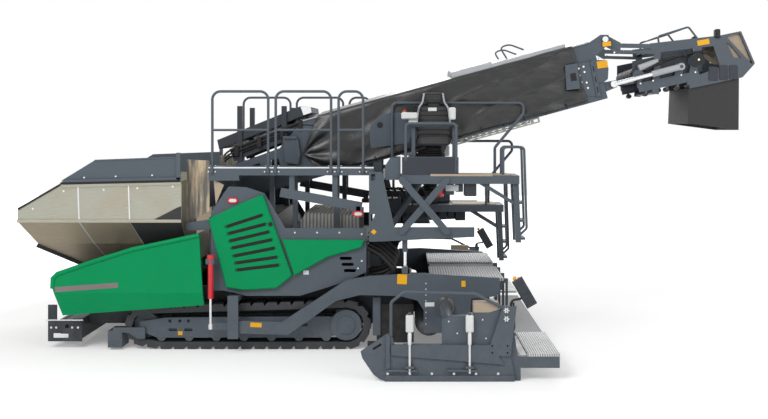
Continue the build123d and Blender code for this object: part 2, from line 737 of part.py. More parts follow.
# Boom frame
boom_parts = []
board_outline = [
    (BOOM_TAIL, 100),
    (BOOM_TAIL + 80, 330),
    (900, 420),
    (1300, BOOM_HIGH),
    (5500, BOOM_HIGH),
    (5700, 770),
    (5810, 740),
    (5810, 630),
    (BOOM_END, 500),
    (BOOM_END, 100),
]
for side in (-1, 1):
    beam_y = (side * BOOM_HALF, side * (BOOM_HALF - BEAM_T))
    boom_parts.append(boom_box((BOOM_TAIL, BOOM_END), (BOOM_LOW, BOOM_LOW + BEAM_H), beam_y))
    side_board = boom_plate(board_outline, side * (BOOM_HALF - 20), side * (BOOM_HALF - 20 - BOARD_T))
    for s in (250, 520, 790):
        side_board = side_board - boom_box((s - 55, s + 55), (170, 290), beam_y)
    boom_parts.append(side_board)
    boom_parts.append(pin(BOOM_X, BOOM_Z, side * (BOOM_HALF - 40), side * (BOOM_HALF + 60), PIN_R))
    boom_parts.append(pin(HEAD_X, HEAD_Z, side * (BOOM_HALF - 35), side * (HEAD_OUT - HEAD_T - 5), PIN_R))
    fold_lug = [(BOOM_END - 10, -30), (5740, -5), (5740, 95), (BOOM_END - 10, 110)]
    boom_parts.append(boom_plate(fold_lug, side * 586, side * 604))
    boom_parts.append(plate([(520, 2760), (700, 2800), (640, 2650), (560, 2650)], side * 592, side * 612))
    saddle_x = (GANTRY_X0 + 30, GANTRY_X0 + 150)
    boom_parts.append(block(saddle_x, (side * 585, side * 635), (BEAM_TOP + 0.3, 2560)))
cross_y = (-BOOM_HALF + 30, BOOM_HALF - 30)
for s in (600, 1500, 2400, GUARD_START, 4200, 5000):
    boom_parts.append(boom_box((s, s + 80), (BOOM_LOW, BOOM_LOW + 35), cross_y))
for s in (1400, 2700, 4000, 5300):
    boom_parts.append(boom_box((s, s + 50), (BOOM_HIGH - 50, BOOM_HIGH), cross_y))
belt_z = DRUM_R + BELT_T - 60
belt_ends = ((BOOM_TAIL + 150, belt_z), (BOOM_END - 120, belt_z))
for s, t in belt_ends:
    x, z = on_boom(s, t)
    boom_parts.append(pin(x, z, -BOOM_HALF + 30, BOOM_HALF - 30, DRUM_R - PIN_GAP))
boom_frame = fuse(*boom_parts)
save("boom_frame", boom_frame)

# Pierced guards of the returning belt, under the cross bars
guard = boom_box((GUARD_START, GUARD_END), (BOOM_LOW - GUARD_H, BOOM_LOW), (-570, -545))
window = GUARD_PITCH * 0.6
for i in range(int((GUARD_END - GUARD_START) / GUARD_PITCH)):
    s = GUARD_START + 30 + i * GUARD_PITCH
    guard = guard - boom_box((s, s + window), (BOOM_LOW - GUARD_H + 20, BOOM_LOW - 20), (-575, -540))
save("belt_guards", *both(guard))


def stadium(a, b, r, half):
    """Rounded bar round two points (x, z), as wide as the belt."""
    length = hypot(b[0] - a[0], b[1] - a[1])
    nx, nz = -(b[1] - a[1]) / length * r, (b[0] - a[0]) / length * r
    corners = [(a[0] + nx, a[1] + nz), (b[0] + nx, b[1] + nz), (b[0] - nx, b[1] - nz), (a[0] - nx, a[1] - nz)]
    return fuse(plate(corners, -half, half), pin(*a, -half, half, r), pin(*b, -half, half, r))


a, b = on_boom(*belt_ends[0]), on_boom(*belt_ends[1])
belt = stadium(a, b, DRUM_R + BELT_T, BELT_HALF) - stadium(a, b, DRUM_R, BELT_HALF + 5)
save("boom_belt", belt)

boom_plane = Plane(origin=(BOOM_X, 0, BOOM_Z), x_dir=(0, 1, 0), z_dir=(cos(ANGLE), 0, sin(ANGLE)))


def roof(s0, s1, half, foot, eaves, ridge):
    """Gabled length of the lid: foot, eaves and ridge are heights square to the boom."""
    line = [(-half, foot), (-half, eaves), (0, ridge), (half, eaves), (half, foot)]
    return extrude(boom_plane * Pos(0, 0, s0) * make_face(Polyline(*line, close=True)), s1 - s0)


def vault(s0, s1, half, foot, top):
    """Cover with straight sides and an arched top, on the lid."""
    spring = top - 55
    sides = Polyline((-half, spring), (-half, foot), (half, foot), (half, spring))
    arch = ThreePointArc((half, spring), (0, top), (-half, spring))
    return extrude(boom_plane * Pos(0, 0, s0) * make_face([*sides.edges(), arch]), s1 - s0)


lid = fuse(
    roof(1320, 5480, BOOM_HALF, BOOM_HIGH, BOOM_HIGH + 15, BOOM_HIGH + LID_RISE),
    vault(3520, 4110, BOOM_HALF - 40, BOOM_HIGH + 5, BOOM_HIGH + 165),
    vault(4100, 5180, BOOM_HALF - 30, BOOM_HIGH + 5, BOOM_HIGH + 135),
)
lid_hollow = roof(1300, 5600, BOOM_HALF - 45, BOOM_HIGH - 1, BOOM_HIGH + 5, BOOM_HIGH + LID_RISE - 15)
save("boom_lid", lid - lid_hollow)

tarp_line = [(1500, -60), (5250, -60), (5250, 690), (1300, 690)]
tarp = boom_plate(tarp_line, -BOOM_HALF - PIN_GAP, -BOOM_HALF - 26)
save("boom_tarps", *both(tarp))

cover_line = [(-2588, 2817), (-1404, 3298), (-1250, 3285), (-1240, 3205), (-1360, 3165), (-2560, 2690)]
inlet_cover = plate(cover_line, -560, 560)
legs = []
for side in (-1, 1):
    for s, top in ((250, 3300), (900, 3300)):
        x, z = on_boom(s, 200)
        leg = block((x - 35, x + 35), (side * (BOOM_HALF - 40), side * 520), (z, top)) - inlet_cover
        legs.append(leg.solids().sort_by(Axis.Z)[0])
save("inlet_cover", fuse(inlet_cover, *legs))

# Discharge head on the boom's end, with its hood, belt, motor and curtain
head_parts = []
cheek_line = [
    (4460, 4150),
    (4460, 4285),
    (4620, 4310),
    (5010, 3890),
    (4864, 3705),
    (4131, 3550),
    (4095, 3690),
    (4560, 3850),
]
cheek_window = [(4640, 4200), (4690, 4180), (4850, 3985), (4750, 3985)]
for side in (-1, 1):
    y0, y1 = side * HEAD_OUT, side * (HEAD_OUT - HEAD_T)
    hinge_line = [(2845, 4190), (2870, 4290), (2950, 4300), (3140, 4200), (3140, 4040), (2920, 4150)]
    hinge_bore = pin(HEAD_X, HEAD_Z, y0 + side * 5, y1 - side * 5, PIN_R + PIN_GAP)
    head_parts.append(plate(hinge_line, y0, y1) - hinge_bore)
    head_parts.append(bar((3100, 4160), (3660, 4150), 60, y0, y1))
    head_parts.append(bar((3100, 4075), (3660, 4060), 45, y0, y1))
    head_parts.append(bar((3570, 4120), (4530, 4230), 140, y0, y1))
    head_parts.append(bar((3640, 3470), (3670, 4150), 90, y0, y1))
    head_parts.append(bar((3400, 3560), (4260, 3740), 130, y0, y1))
    head_parts.append(bar((4150, 3680), (4260, 4200), 110, y0, y1))
    head_parts.append(plate(cheek_line, y0, y1) - plate(cheek_window, y0 + side * 5, y1 - side * 5))
    rack = [(3690, 4180), (3675, 4290), (4110, 4425), (4255, 4235)]
    rack_y = side * (HEAD_OUT - HEAD_T / 2)
    head_parts.append(tube([(x, rack_y, z) for x, z in rack], 14, 40))
    for x, z in ((3760, 4316), (4080, 4416)):
        head_parts.append(rod((x, rack_y, z), (x, 0, z), 12))
    head_parts.append(bar((4470, 4270), (4850, 4350), 30, y0, 0))
    head_parts.append(bar((4840, 4352), (5035, 3900), 30, y0, 0))
    head_parts.append(bar((5030, 3905), (4864, 3720), 30, y0, 0))
    head_parts.append(bar((3640, 3480), (3660, 3560), 60, y1, 0))
    head_parts.append(bar((3600, 4125), (3700, 4135), 60, y1, 0))
drum_x, drum_z = 4215, 3950
head_parts.append(pin(drum_x, drum_z, -HEAD_OUT + 20, HEAD_OUT - 20, DRUM_R - PIN_GAP))
head_parts.append(pin(3400, 3740, -HEAD_OUT + 20, HEAD_OUT - 20, DRUM_R - 30 - PIN_GAP))
for side in (-1, 1):
    head_parts.append(bar((3420, 3560), (3400, 3740), 60, side * HEAD_OUT, side * (HEAD_OUT - HEAD_T)))
head_belt = fuse(
    stadium((3400, 3740), (drum_x, drum_z), DRUM_R - 30 + BELT_T, BELT_HALF),
    pin(drum_x, drum_z, -BELT_HALF, BELT_HALF, DRUM_R + BELT_T),
)
head_belt = head_belt - stadium((3400, 3740), (drum_x, drum_z), DRUM_R - 30, BELT_HALF + 5)
head_belt = head_belt - pin(drum_x, drum_z, -BELT_HALF - 5, BELT_HALF + 5, DRUM_R)
save("head_belt", head_belt)
skirt_y = HEAD_OUT - HEAD_T - PIN_GAP
skirt = plate([(4125, 3560), (4835, 3700), (4830, 2960), (4105, 3055)], -skirt_y, skirt_y)
skirt_core = plate([(4140, 3600), (4820, 3740), (4815, 2900), (4120, 2900)], -skirt_y + 15, skirt_y - 15)
save("chute_curtain", skirt - skirt_core)

# Fold cylinders of the head: barrel on the head, rod's eye beside a lug of the boom
FOLD_Y = -640
fold_a = (3030, 3607)
fold_b = (3980, 3855)
fold_len = hypot(fold_b[0] - fold_a[0], fold_b[1] - fold_a[1])
fold_u = ((fold_b[0] - fold_a[0]) / fold_len, (fold_b[1] - fold_a[1]) / fold_len)
fold_barrel = fuse(
    rod(along(fold_a, fold_u, 560, FOLD_Y), along(fold_a, fold_u, fold_len - 30, FOLD_Y), 45),
    pin(*fold_b, FOLD_Y - 30, FOLD_Y + 30, 50),
)
fold_bore = (along(fold_a, fold_u, 540, FOLD_Y), along(fold_a, fold_u, fold_len - 70, FOLD_Y))
fold_barrel = fold_barrel - rod(*fold_bore, 30 + PIN_GAP)
fold_barrel = fold_barrel - pin(*fold_b, FOLD_Y - 40, FOLD_Y + 40, 25 + PIN_GAP)
save("fold_barrels", *both(fold_barrel))
fold_rod = fuse(
    rod(along(fold_a, fold_u, 20, FOLD_Y), along(fold_a, fold_u, 580, FOLD_Y), 30),
    pin(*fold_a, FOLD_Y - 22, FOLD_Y + 22, 46),
    pin(*fold_a, FOLD_Y, -604.5, 18),
)
save("fold_rods", *both(fold_rod))
for side in (-1, 1):
    y0, y1 = side * HEAD_OUT, side * (HEAD_OUT - HEAD_T)
    head_parts.append(bar((3955, 3680), (3985, 3900), 110, y0, y1))
    head_parts.append(pin(*fold_b, y1, -side * (FOLD_Y - 35), 25))
    head_parts.append(pin(drum_x, drum_z, y1, side * (HEAD_OUT + 110), 95))
save("head_frame", fuse(*head_parts))

# Boom lift cylinders between the gantry and the boom
lift_a = (FOOT_X, FOOT_Z - 15)
lift_b = (600, 2690)
lift_len = hypot(lift_b[0] - lift_a[0], lift_b[1] - lift_a[1])
lift_u = ((lift_b[0] - lift_a[0]) / lift_len, (lift_b[1] - lift_a[1]) / lift_len)
boom_barrel = fuse(
    rod(along(lift_a, lift_u, 30, FOOT_Y), along(lift_a, lift_u, 830, FOOT_Y), 45),
    pin(*lift_a, FOOT_Y - 30, FOOT_Y + 30, 50),
)
lift_bore = (along(lift_a, lift_u, 70, FOOT_Y), along(lift_a, lift_u, 900, FOOT_Y))
boom_barrel = boom_barrel - rod(*lift_bore, 28 + PIN_GAP)
boom_barrel = boom_barrel - pin(*lift_a, FOOT_Y - 70, FOOT_Y + 70, 25 + PIN_GAP)
save("boom_lift_barrels", *both(boom_barrel))
boom_rod = fuse(
    rod(along(lift_a, lift_u, 560, FOOT_Y), along(lift_a, lift_u, lift_len - 20, FOOT_Y), 28),
    pin(*lift_b, FOOT_Y - 30, FOOT_Y + 30, 42),
    pin(*lift_b, FOOT_Y, -591.5, 18),
)
save("boom_lift_rods", *both(boom_rod))

# Operator platforms with seats, on scissor arms; the left one stands raised and the right one low
def platform():
    """Left platform, raised: floor frame, box in front, guard, rail and ladder."""
    low = FLOOR_TOP - FLOOR_T
    box_line = [
        (-185, FLOOR_TOP - 60),
        (-185, FLOOR_TOP + 130),
        (-115, FLOOR_TOP + 240),
        (FLOOR_X0 + 5, FLOOR_TOP + 240),
        (FLOOR_X0 + 5, FLOOR_TOP - 60),
    ]
    parts = [
        block((FLOOR_X0, FLOOR_X1), (-GANTRY_OUT, -gantry_in), (low, FLOOR_TOP)),
        block((FLOOR_X0, FLOOR_X1), (-FLOOR_IN - 40, -FLOOR_IN), (low, FLOOR_TOP)),
        block((FLOOR_X0, FLOOR_X1), (-GANTRY_OUT, -FLOOR_IN), (FLOOR_TOP - 12, FLOOR_TOP)),
        plate(box_line, -1340, -FLOOR_IN),
        block((40, 760), (-1395, -1375), (FLOOR_TOP - 5, FLOOR_TOP + 250)),
    ]
    for x in (FLOOR_X0, 780, FLOOR_X1 - 60):
        parts.append(block((x, x + 60), (-gantry_in - 5, -FLOOR_IN), (low, FLOOR_TOP)))
    y = -1385
    guard = [(90, FLOOR_TOP + 200), (90, 3045), (765, 3045), (765, FLOOR_TOP + 200)]
    parts.append(tube([(x, y, z) for x, z in guard], 20, 50))
    y = -FLOOR_IN - 22
    rail = [
        (-100, FLOOR_TOP + 200),
        (-100, 3340),
        (1740, 3340),
        (1740, 3190),
        (1340, 2715),
        (1340, FLOOR_TOP - 50),
    ]
    parts.append(tube([(x, y, z) for x, z in rail], 20, 70))
    stringer = [(1530, FLOOR_TOP - 60), (1605, FLOOR_TOP - 60), (1640, 1450), (1565, 1450)]
    for y in (-1330, -1010):
        parts.append(plate(stringer, y - 20, y + 20))
        hoop = [(1630, y, 1560), (1715, y, 1640), (1680, y, 2730), (1400, y, 2730), (1400, y, FLOOR_TOP - 8)]
        parts.append(tube(hoop, 17, 50))
        parts.append(bar((1090, low + 15), (1570, 1960), 45, y - 10, y + 10))
    for z in (1500, 1740, 1980):
        x = 1575 + (2290 - z) * 0.042
        parts.append(block((x - 30, x + 90), (-1330, -1010), (z - 15, z + 15)))
    arm_pin = (-GANTRY_OUT + 5, -GANTRY_OUT - 2 * (ARM_GAP + ARM_T))
    parts.append(pin(ARM_PIN_X, HIGH_PIN_Z + 55, *arm_pin, ARM_PIN_R))
    return fuse(*parts)


def seat():
    """Left seat, facing out: pedestal, cushion, back, head rest and two consoles."""
    parts = [
        block((370, 590), (-1190, -960), (FLOOR_TOP, 2760)),
        block((250, 700), (-1320, -880), (2750, 2850)),
        block((250, 700), (-900, -800), (2790, 3290)),
        block((420, 530), (-860, -820), (3280, 3360)),
        block((340, 610), (-880, -800), (3340, 3480)),
        block((100, 255), (-1080, -840), (3080, 3190)),
        block((695, 790), (-1080, -840), (3060, 3190)),
    ]
    return fuse(*parts)


def scissor(pin_point, end_point, y):
    """Flat arm with an eye at its pin."""
    arm = fuse(
        bar(pin_point, end_point, ARM_W, y, y - ARM_T),
        pin(*pin_point, y, y - ARM_T, ARM_W / 2),
        pin(*end_point, y, y - ARM_T, ARM_W / 2),
    )
    return arm - pin(*pin_point, y + 5, y - ARM_T - 5, ARM_PIN_R + PIN_GAP)


high_pin = (ARM_PIN_X, HIGH_PIN_Z + 55)
low_pin = (ARM_PIN_X, LOW_PIN_Z)
rise_high = high_pin[1] - low_pin[1]
lean_high = asin(rise_high / ARM_LENGTH)
lean_low = asin((rise_high - LIFT_TRAVEL) / ARM_LENGTH)
inner_y = -GANTRY_OUT - ARM_GAP
outer_y = inner_y - ARM_T - ARM_GAP


def swing(point, lean, sign):
    """Far end of a scissor arm at a lean angle from its pin."""
    return (point[0] + ARM_LENGTH * cos(lean), point[1] + sign * ARM_LENGTH * sin(lean))


station, chair = platform(), seat()
save("platform_left", station)
save("seat_left", chair)
down = Pos(0, 0, -LIFT_TRAVEL)
save("platform_right", mirror(down * station, about=Plane.XZ))
save("seat_right", mirror(down * chair, about=Plane.XZ))


def low_arm(lean):
    """Scissor arm on the gantry, with a boss that slides on the platform's beam."""
    end = swing(low_pin, lean, 1)
    boss = pin(*end, inner_y, -GANTRY_OUT - PIN_GAP, ARM_W / 2 - 10)
    return fuse(scissor(low_pin, end, inner_y), boss)


save("scissor_low_left", low_arm(lean_high))
save("scissor_high_left", scissor(high_pin, swing(high_pin, lean_high, -1), outer_y))
sunk_pin = (high_pin[0], high_pin[1] - LIFT_TRAVEL)
save("scissor_low_right", mirror(low_arm(lean_low), about=Plane.XZ))
sunk_arm = scissor(sunk_pin, swing(sunk_pin, lean_low, -1), outer_y)
save("scissor_high_right", mirror(sunk_arm, about=Plane.XZ))

# Screed: tow arms with the side plates, main screed, cover and walkway
arm_line = [
    (TOW_X, TOW_Z + 85),
    (-1554, 406),
    (-694, 965),
    (-357, 1018),
    (321, 1050),
    (1341, 990),
    (1341, 770),
    (1230, 740),
    (960, 720),
    (930, SCREED_H),
    (330, SCREED_H),
    (330, 560),
    (250, 690),
    (15, 752),
    (-517, 765),
    (-836, 686),
    (-1474, 234),
    (TOW_X, TOW_Z - 85),
]
tow_arm = plate(arm_line, -ARM_IN, -ARM_OUT) + pin(TOW_X, TOW_Z, -ARM_IN, -ARM_OUT, 85)
tow_arm = tow_arm + block((40, 120), (-ARM_IN, -ARM_IN - 40), (1000, 1130))
tow_arm = tow_arm - pin(TOW_X, TOW_Z, -ARM_IN + 5, -ARM_OUT - 5, PIN_R + PIN_GAP)
tow_arm = tow_arm - pin(TUBE_X, TUBE_Z, -ARM_IN + 5, -ARM_OUT - 5, TUBE_R + PIN_GAP)
save("tow_arms", *both(tow_arm))
cover_x = (420, 1400)
cover_z = 940
main_parts = [
    block((SCREED_FRONT, SCREED_REAR), (-SCREED_HALF, SCREED_HALF), (0, SCREED_H)),
    pin(TUBE_X, TUBE_Z, -SCREED_HALF, SCREED_HALF, TUBE_R),
    block((900, 940), (-ARM_IN, ARM_IN), (SCREED_H - 10, 880)),
    block((520, 940), (-ARM_IN, ARM_IN), (820, 880)),
]
for y in (-1365, -800, -300, 300, 800, 1365):
    main_parts.append(block((SCREED_FRONT - 35, 920), (y - 15, y + 15), (SCREED_H - 10, 860)))
    main_parts.append(block((460, 1380), (y - 15, y + 15), (820, cover_z)))
walk_low = WALK_TOP - WALK_T
for y in (-800, -300, 300, 800):
    hanger_y = (y - 30, y + 30)
    main_parts.append(block((1380, 1420), hanger_y, (820, 900)))
    main_parts.append(block((1380, WALK_FRONT - 5), hanger_y, (830, 890)))
    main_parts.append(block((WALK_FRONT - 35, WALK_FRONT - 5), hanger_y, (walk_low, 890)))
    main_parts.append(block((WALK_FRONT - 35, WALK_REAR), hanger_y, (walk_low - 60, walk_low)))
centre_y = (-CENTRE_HALF, CENTRE_HALF)
main_parts.append(block((cover_x[0] + 20, cover_x[1] - 20), centre_y, (860, cover_z + 20)))
tube_bore = pin(TUBE_X, TUBE_Z, -SCREED_HALF - 5, SCREED_HALF + 5, INNER_R + PIN_GAP)
save("screed_frame", fuse(*main_parts) - tube_bore)

# Cover in two halves beside the centre beam, and the walkway behind
cover = block(cover_x, (-ARM_IN + 5, -CENTRE_HALF - 5), (cover_z, cover_z + 40))
save("screed_cover", *both(cover))
walkway = block((WALK_FRONT, WALK_REAR), (-WALK_HALF, WALK_HALF), (WALK_TOP - WALK_T, WALK_TOP))
save("screed_walkway", walkway)

lift_eye = (LIFT_X, 1095)
screed_barrel = fuse(
    Pos(LIFT_X, LIFT_Y, LIFT_Z - 150) * Cylinder(38, 240),
    pin(LIFT_X, LIFT_Z, LIFT_Y - 24, LIFT_Y + 24, 46),
)
screed_barrel = screed_barrel - Pos(LIFT_X, LIFT_Y, LIFT_Z - 154) * Cylinder(22 + PIN_GAP, 244)
screed_barrel = screed_barrel - pin(LIFT_X, LIFT_Z, LIFT_Y - 30, LIFT_Y + 30, 25 + PIN_GAP)
save("screed_lift_barrels", *both(screed_barrel))
screed_rod = fuse(
    Pos(LIFT_X, LIFT_Y, (lift_eye[1] + 1350) / 2) * Cylinder(22, 1350 - lift_eye[1]),
    pin(*lift_eye, LIFT_Y - 24, LIFT_Y + 24, 38),
    pin(*lift_eye, LIFT_Y, -ARM_IN + 0.5, 18),
)
save("screed_lift_rods", *both(screed_rod))

# Screed extensions: box, telescopic tube, end gate with post and handrail, and step
guard_line = [
    (520, 430),
    (520, 720),
    (640, 760),
    (1000, 780),
    (1250, 860),
    (1330, 860),
    (1420, 250),
    (1060, 250),
    (1060, 430),
]
ext = fuse(
    block((EXT_FRONT, EXT_REAR), (-GATE_IN, -EXT_IN), (0, EXT_H)),
    plate(guard_line, -GATE_IN + 90, -GATE_IN),
    block((890, 1190), (-GATE_IN + 5, -GATE_IN + 135), (740, 925)),
    pin(TUBE_X, TUBE_Z, -GATE_IN, -1400, INNER_R),
    block((EXT_REAR - 100, WALK_REAR), (-GATE_IN + 70, -GATE_IN), (150, EXT_H - 5)),
)
bolt_x, bolt_z = (1110, 1290), (340, 420)
bolts = [pin(x, z, -GATE_IN + 120, -GATE_IN - GATE_T - 60, 11) for x in bolt_x for z in bolt_z]
for bolt in bolts:
    ext = ext - bolt
save("extension_left", ext)
save("extension_right", mirror(ext, about=Plane.XZ))
gate_out = -GATE_IN - GATE_T
gate_line = [
    (-441, 350),
    (-420, 270),
    (-291, 80),
    (-220, 25),
    (-151, 0),
    (1370, 0),
    (1370, 100),
    (1300, 430),
    (-40, 430),
    (-80, 557),
    (-130, 557),
]
gate_rail = [(-82, 540), (-82, 930), (71, 1052), (908, 1030), (1290, 840)]
gate = fuse(
    plate(gate_line, -GATE_IN, gate_out),
    block((-151, 1370), (-GATE_IN, gate_out - 20), (0, 70)),
    plate([(-80, 430), (1100, 430), (1250, 200), (-80, 310)], -GATE_IN, gate_out - 25),
    plate([(1045, 300), (1325, 300), (1397, 887), (1237, 887)], -GATE_IN, gate_out - 25),
    block((-140, -95), (-GATE_IN, gate_out - 25), (150, 550)),
    tube([(x, gate_out, z) for x, z in gate_rail], 18, 60),
)
gate = gate - slot((-285, 383), (-205, 430), 30, -GATE_IN + 5, gate_out - 5)
for bolt in bolts:
    gate = gate - bolt
save("end_gate_left", gate)
save("end_gate_right", mirror(gate, about=Plane.XZ))
step = block((WALK_FRONT + 10, WALK_REAR), (-GATE_IN, -1640), (EXT_H - 5, EXT_H + 25))
save("extension_step_left", step)
save("extension_step_right", mirror(step, about=Plane.XZ))

# Augers and their drive case
flight_in = AUGER_SHAFT_R - 5
winding = Helix(AUGER_PITCH, AUGER_END - CASE_HALF - 60, (flight_in + AUGER_R) / 2)
blade_plane = Plane(origin=winding @ 0, x_dir=(1, 0, 0), z_dir=winding % 0)
blade = blade_plane * Rectangle(AUGER_R - flight_in, FLIGHT_T)
flight = sweep(blade, path=winding, is_frenet=True)
shaft = pin(AUGER_X, AUGER_Z, -CASE_HALF - 6, -AUGER_END, AUGER_SHAFT_R)
auger_left = fuse(shaft, Pos(AUGER_X, -CASE_HALF - 40, AUGER_Z) * Rot(90, 0, 0) * flight)
auger_left = auger_left - pin(AUGER_X, AUGER_Z, -CASE_HALF + 5, -CASE_HALF - 62, 20 + PIN_GAP)
save("auger_left", auger_left)
save("auger_right", mirror(auger_left, about=Plane.XZ))
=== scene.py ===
# %% [markdown]
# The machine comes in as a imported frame: rigid bodies with their joints, in metres. Every piece made
# below is placed against it, so nothing has to be fitted by eye afterwards.

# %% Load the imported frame
import json
from math import cos, pi, radians, sin

import bmesh
import bpy
import numpy as np
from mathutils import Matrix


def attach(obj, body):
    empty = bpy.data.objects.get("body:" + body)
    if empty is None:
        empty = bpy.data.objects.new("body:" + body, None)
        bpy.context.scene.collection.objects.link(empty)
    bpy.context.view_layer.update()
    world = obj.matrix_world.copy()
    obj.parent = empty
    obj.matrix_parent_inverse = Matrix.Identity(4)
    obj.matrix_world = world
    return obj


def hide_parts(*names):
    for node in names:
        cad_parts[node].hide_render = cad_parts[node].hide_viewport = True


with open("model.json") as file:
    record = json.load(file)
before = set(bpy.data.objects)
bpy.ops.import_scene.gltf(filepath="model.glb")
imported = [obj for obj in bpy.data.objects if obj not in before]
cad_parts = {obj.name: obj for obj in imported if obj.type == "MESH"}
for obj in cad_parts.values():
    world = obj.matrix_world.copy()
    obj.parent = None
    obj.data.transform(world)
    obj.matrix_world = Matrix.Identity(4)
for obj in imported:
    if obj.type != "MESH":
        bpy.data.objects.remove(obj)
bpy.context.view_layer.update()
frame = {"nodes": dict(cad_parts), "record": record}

nodes, record = frame["nodes"], frame["record"]

# %% [markdown]
# The paver stands on a pale floor in soft studio light. The camera is level and square to the
# machine's left side. Its optical axis runs through the deck, well above the middle of the
# picture, so the lens is shifted instead of tilted: the uprights then stay parallel.

# %% Camera
PICTURE_WIDTH = 768
PICTURE_HEIGHT = 419
FOCAL_PIXELS = 985
AXIS_PIXEL = (406, 130)
EYE = (0.095, -14.55, 2.96)

camera_data = bpy.data.cameras.new("side_camera")
camera_data.sensor_width = 36
camera_data.lens = FOCAL_PIXELS / PICTURE_WIDTH * camera_data.sensor_width
camera_data.shift_x = (PICTURE_WIDTH / 2 - AXIS_PIXEL[0]) / PICTURE_WIDTH
camera_data.shift_y = (AXIS_PIXEL[1] - PICTURE_HEIGHT / 2) / PICTURE_WIDTH
camera_data.clip_end = 200
camera = bpy.data.objects.new("side_camera", camera_data)
camera.location = EYE
camera.rotation_euler = (radians(90), 0, 0)
bpy.context.collection.objects.link(camera)
bpy.context.scene.camera = camera
bpy.context.scene.view_settings.view_transform = "Standard"
print("lens", round(camera_data.lens, 1), "mm")

# %% [markdown]
# Node trees read best when a node is one line. `add` makes a node, sets its values by socket name
# and takes links in the same way: a value that is a socket is linked, anything else is set.

# %% Node helpers
def add(tree, kind, at=None, **values):
    """One node of a kind; values go to sockets by name (spaces as _) or by index i0, i1."""
    node = tree.nodes.new(kind)
    for key, value in (at or {}).items():
        setattr(node, key, value)
    for key, value in values.items():
        plain = key[0] == "i" and key[1:].isdigit()
        socket = node.inputs[int(key[1:])] if plain else node.inputs[key.replace("_", " ")]
        if isinstance(value, bpy.types.NodeSocket):
            tree.links.new(value, socket)
        else:
            socket.default_value = value
    return node


def math(tree, operation, a, b=0.0, clamp=False):
    """Result of a Math node on two values or sockets."""
    node = add(tree, "ShaderNodeMath", {"operation": operation, "use_clamp": clamp}, i0=a, i1=b)
    return node.outputs[0]


def mix(tree, share, a, b):
    """Colour between a and b."""
    node = add(tree, "ShaderNodeMix", {"data_type": "RGBA"}, i0=share, i6=a, i7=b)
    return node.outputs[2]


def ramp(tree, value, low, high, a=0.0, b=1.0):
    """Value carried from low..high to a..b, held at both ends."""
    node = add(tree, "ShaderNodeMapRange", {"clamp": True}, i0=value, i1=low, i2=high, i3=a, i4=b)
    return node.outputs[0]


def noise(tree, place, scale, detail=3.0, rough=0.55):
    """Factor of a noise texture at a place."""
    node = add(tree, "ShaderNodeTexNoise", Vector=place, Scale=scale, Detail=detail, Roughness=rough)
    return node.outputs[0]


def place_in(tree, scale=(1, 1, 1), turn=(0, 0, 0)):
    """Object coordinates through a Mapping node."""
    spot = add(tree, "ShaderNodeTexCoord").outputs["Object"]
    return add(tree, "ShaderNodeMapping", Vector=spot, Scale=scale, Rotation=turn).outputs[0]


# %% [markdown]
# Floor and light. The picture's ground is white with a soft shadow under the machine. A floor
# that is white to the camera and to reflections, and a plain pale matt to the light, gives both.
# The world is treated alike, so that bright steel mirrors a white studio.

# %% Floor, world and lamps
def seen(tree):
    """1 for rays that the camera, a mirror or a glass sends."""
    path = add(tree, "ShaderNodeLightPath")
    first = math(tree, "MAXIMUM", path.outputs["Is Camera Ray"], path.outputs["Is Glossy Ray"])
    return math(tree, "MAXIMUM", first, path.outputs["Is Transmission Ray"])


WORLD_LIGHT = 0.5
world = bpy.data.worlds.new("studio")
bpy.context.scene.world = world
world.use_nodes = True
tree = world.node_tree
tree.nodes.clear()
strength = ramp(tree, seen(tree), 0, 1, WORLD_LIGHT, 1.0)
back = add(tree, "ShaderNodeBackground", Color=(1, 1, 1, 1), Strength=strength)
add(tree, "ShaderNodeOutputWorld", Surface=back.outputs[0])

FLOOR_SIZE = 60.0
floor_data = bpy.data.meshes.new("floor")
corner = FLOOR_SIZE / 2
corners = [(-corner, -corner, 0), (corner, -corner, 0), (corner, corner, 0), (-corner, corner, 0)]
floor_data.from_pydata(corners, [], [(0, 1, 2, 3)])
floor = bpy.data.objects.new("floor", floor_data)
floor.location.z = -0.002
bpy.context.collection.objects.link(floor)
floor_finish = bpy.data.materials.new("pale_floor")
floor_finish.use_nodes = True
tree = floor_finish.node_tree
tree.nodes.clear()
matt = add(tree, "ShaderNodeBsdfDiffuse", Color=(0.9, 0.9, 0.9, 1))
spot = add(tree, "ShaderNodeTexCoord").outputs["Object"]
reach = add(tree, "ShaderNodeVectorMath", {"operation": "LENGTH"}, i0=spot).outputs["Value"]
glow = math(tree, "MULTIPLY", ramp(tree, reach, 6.5, 10.5, 0.22, 1.0), seen(tree))
white = add(tree, "ShaderNodeEmission", Strength=glow)
both = add(tree, "ShaderNodeAddShader", i0=matt.outputs[0], i1=white.outputs[0])
add(tree, "ShaderNodeOutputMaterial", Surface=both.outputs[0])
floor_data.materials.append(floor_finish)


def lamp(name, spot, aim, size, watts, tint=(1, 1, 1)):
    """Square area lamp at a spot, turned to its aim."""
    data = bpy.data.lights.new(name, "AREA")
    data.size = size
    data.energy = watts
    data.color = tint
    thing = bpy.data.objects.new(name, data)
    thing.location = spot
    way = np.array(aim) - np.array(spot)
    flat = float(np.hypot(way[0], way[1]))
    thing.rotation_euler = (np.arctan2(flat, -way[2]), 0, np.arctan2(way[1], way[0]) - pi / 2)
    bpy.context.collection.objects.link(thing)
    return thing


lamp("key_lamp", (-6, -11, 10), (0, 0, 1.5), 6, 1000)
lamp("fill_lamp", (9, -10, 6), (0, 0, 1.5), 7, 350)
lamp("back_lamp", (2, 10, 9), (0, 0, 2), 7, 600)
print("stage is set")

# %% [markdown]
# Effects that many finishes share are node groups. Weathering gives a broad change of tone, a fine
# grain and the dust that gathers low on a road machine. Edge wear compares the true normal with a
# rounded one: they part only near an edge.

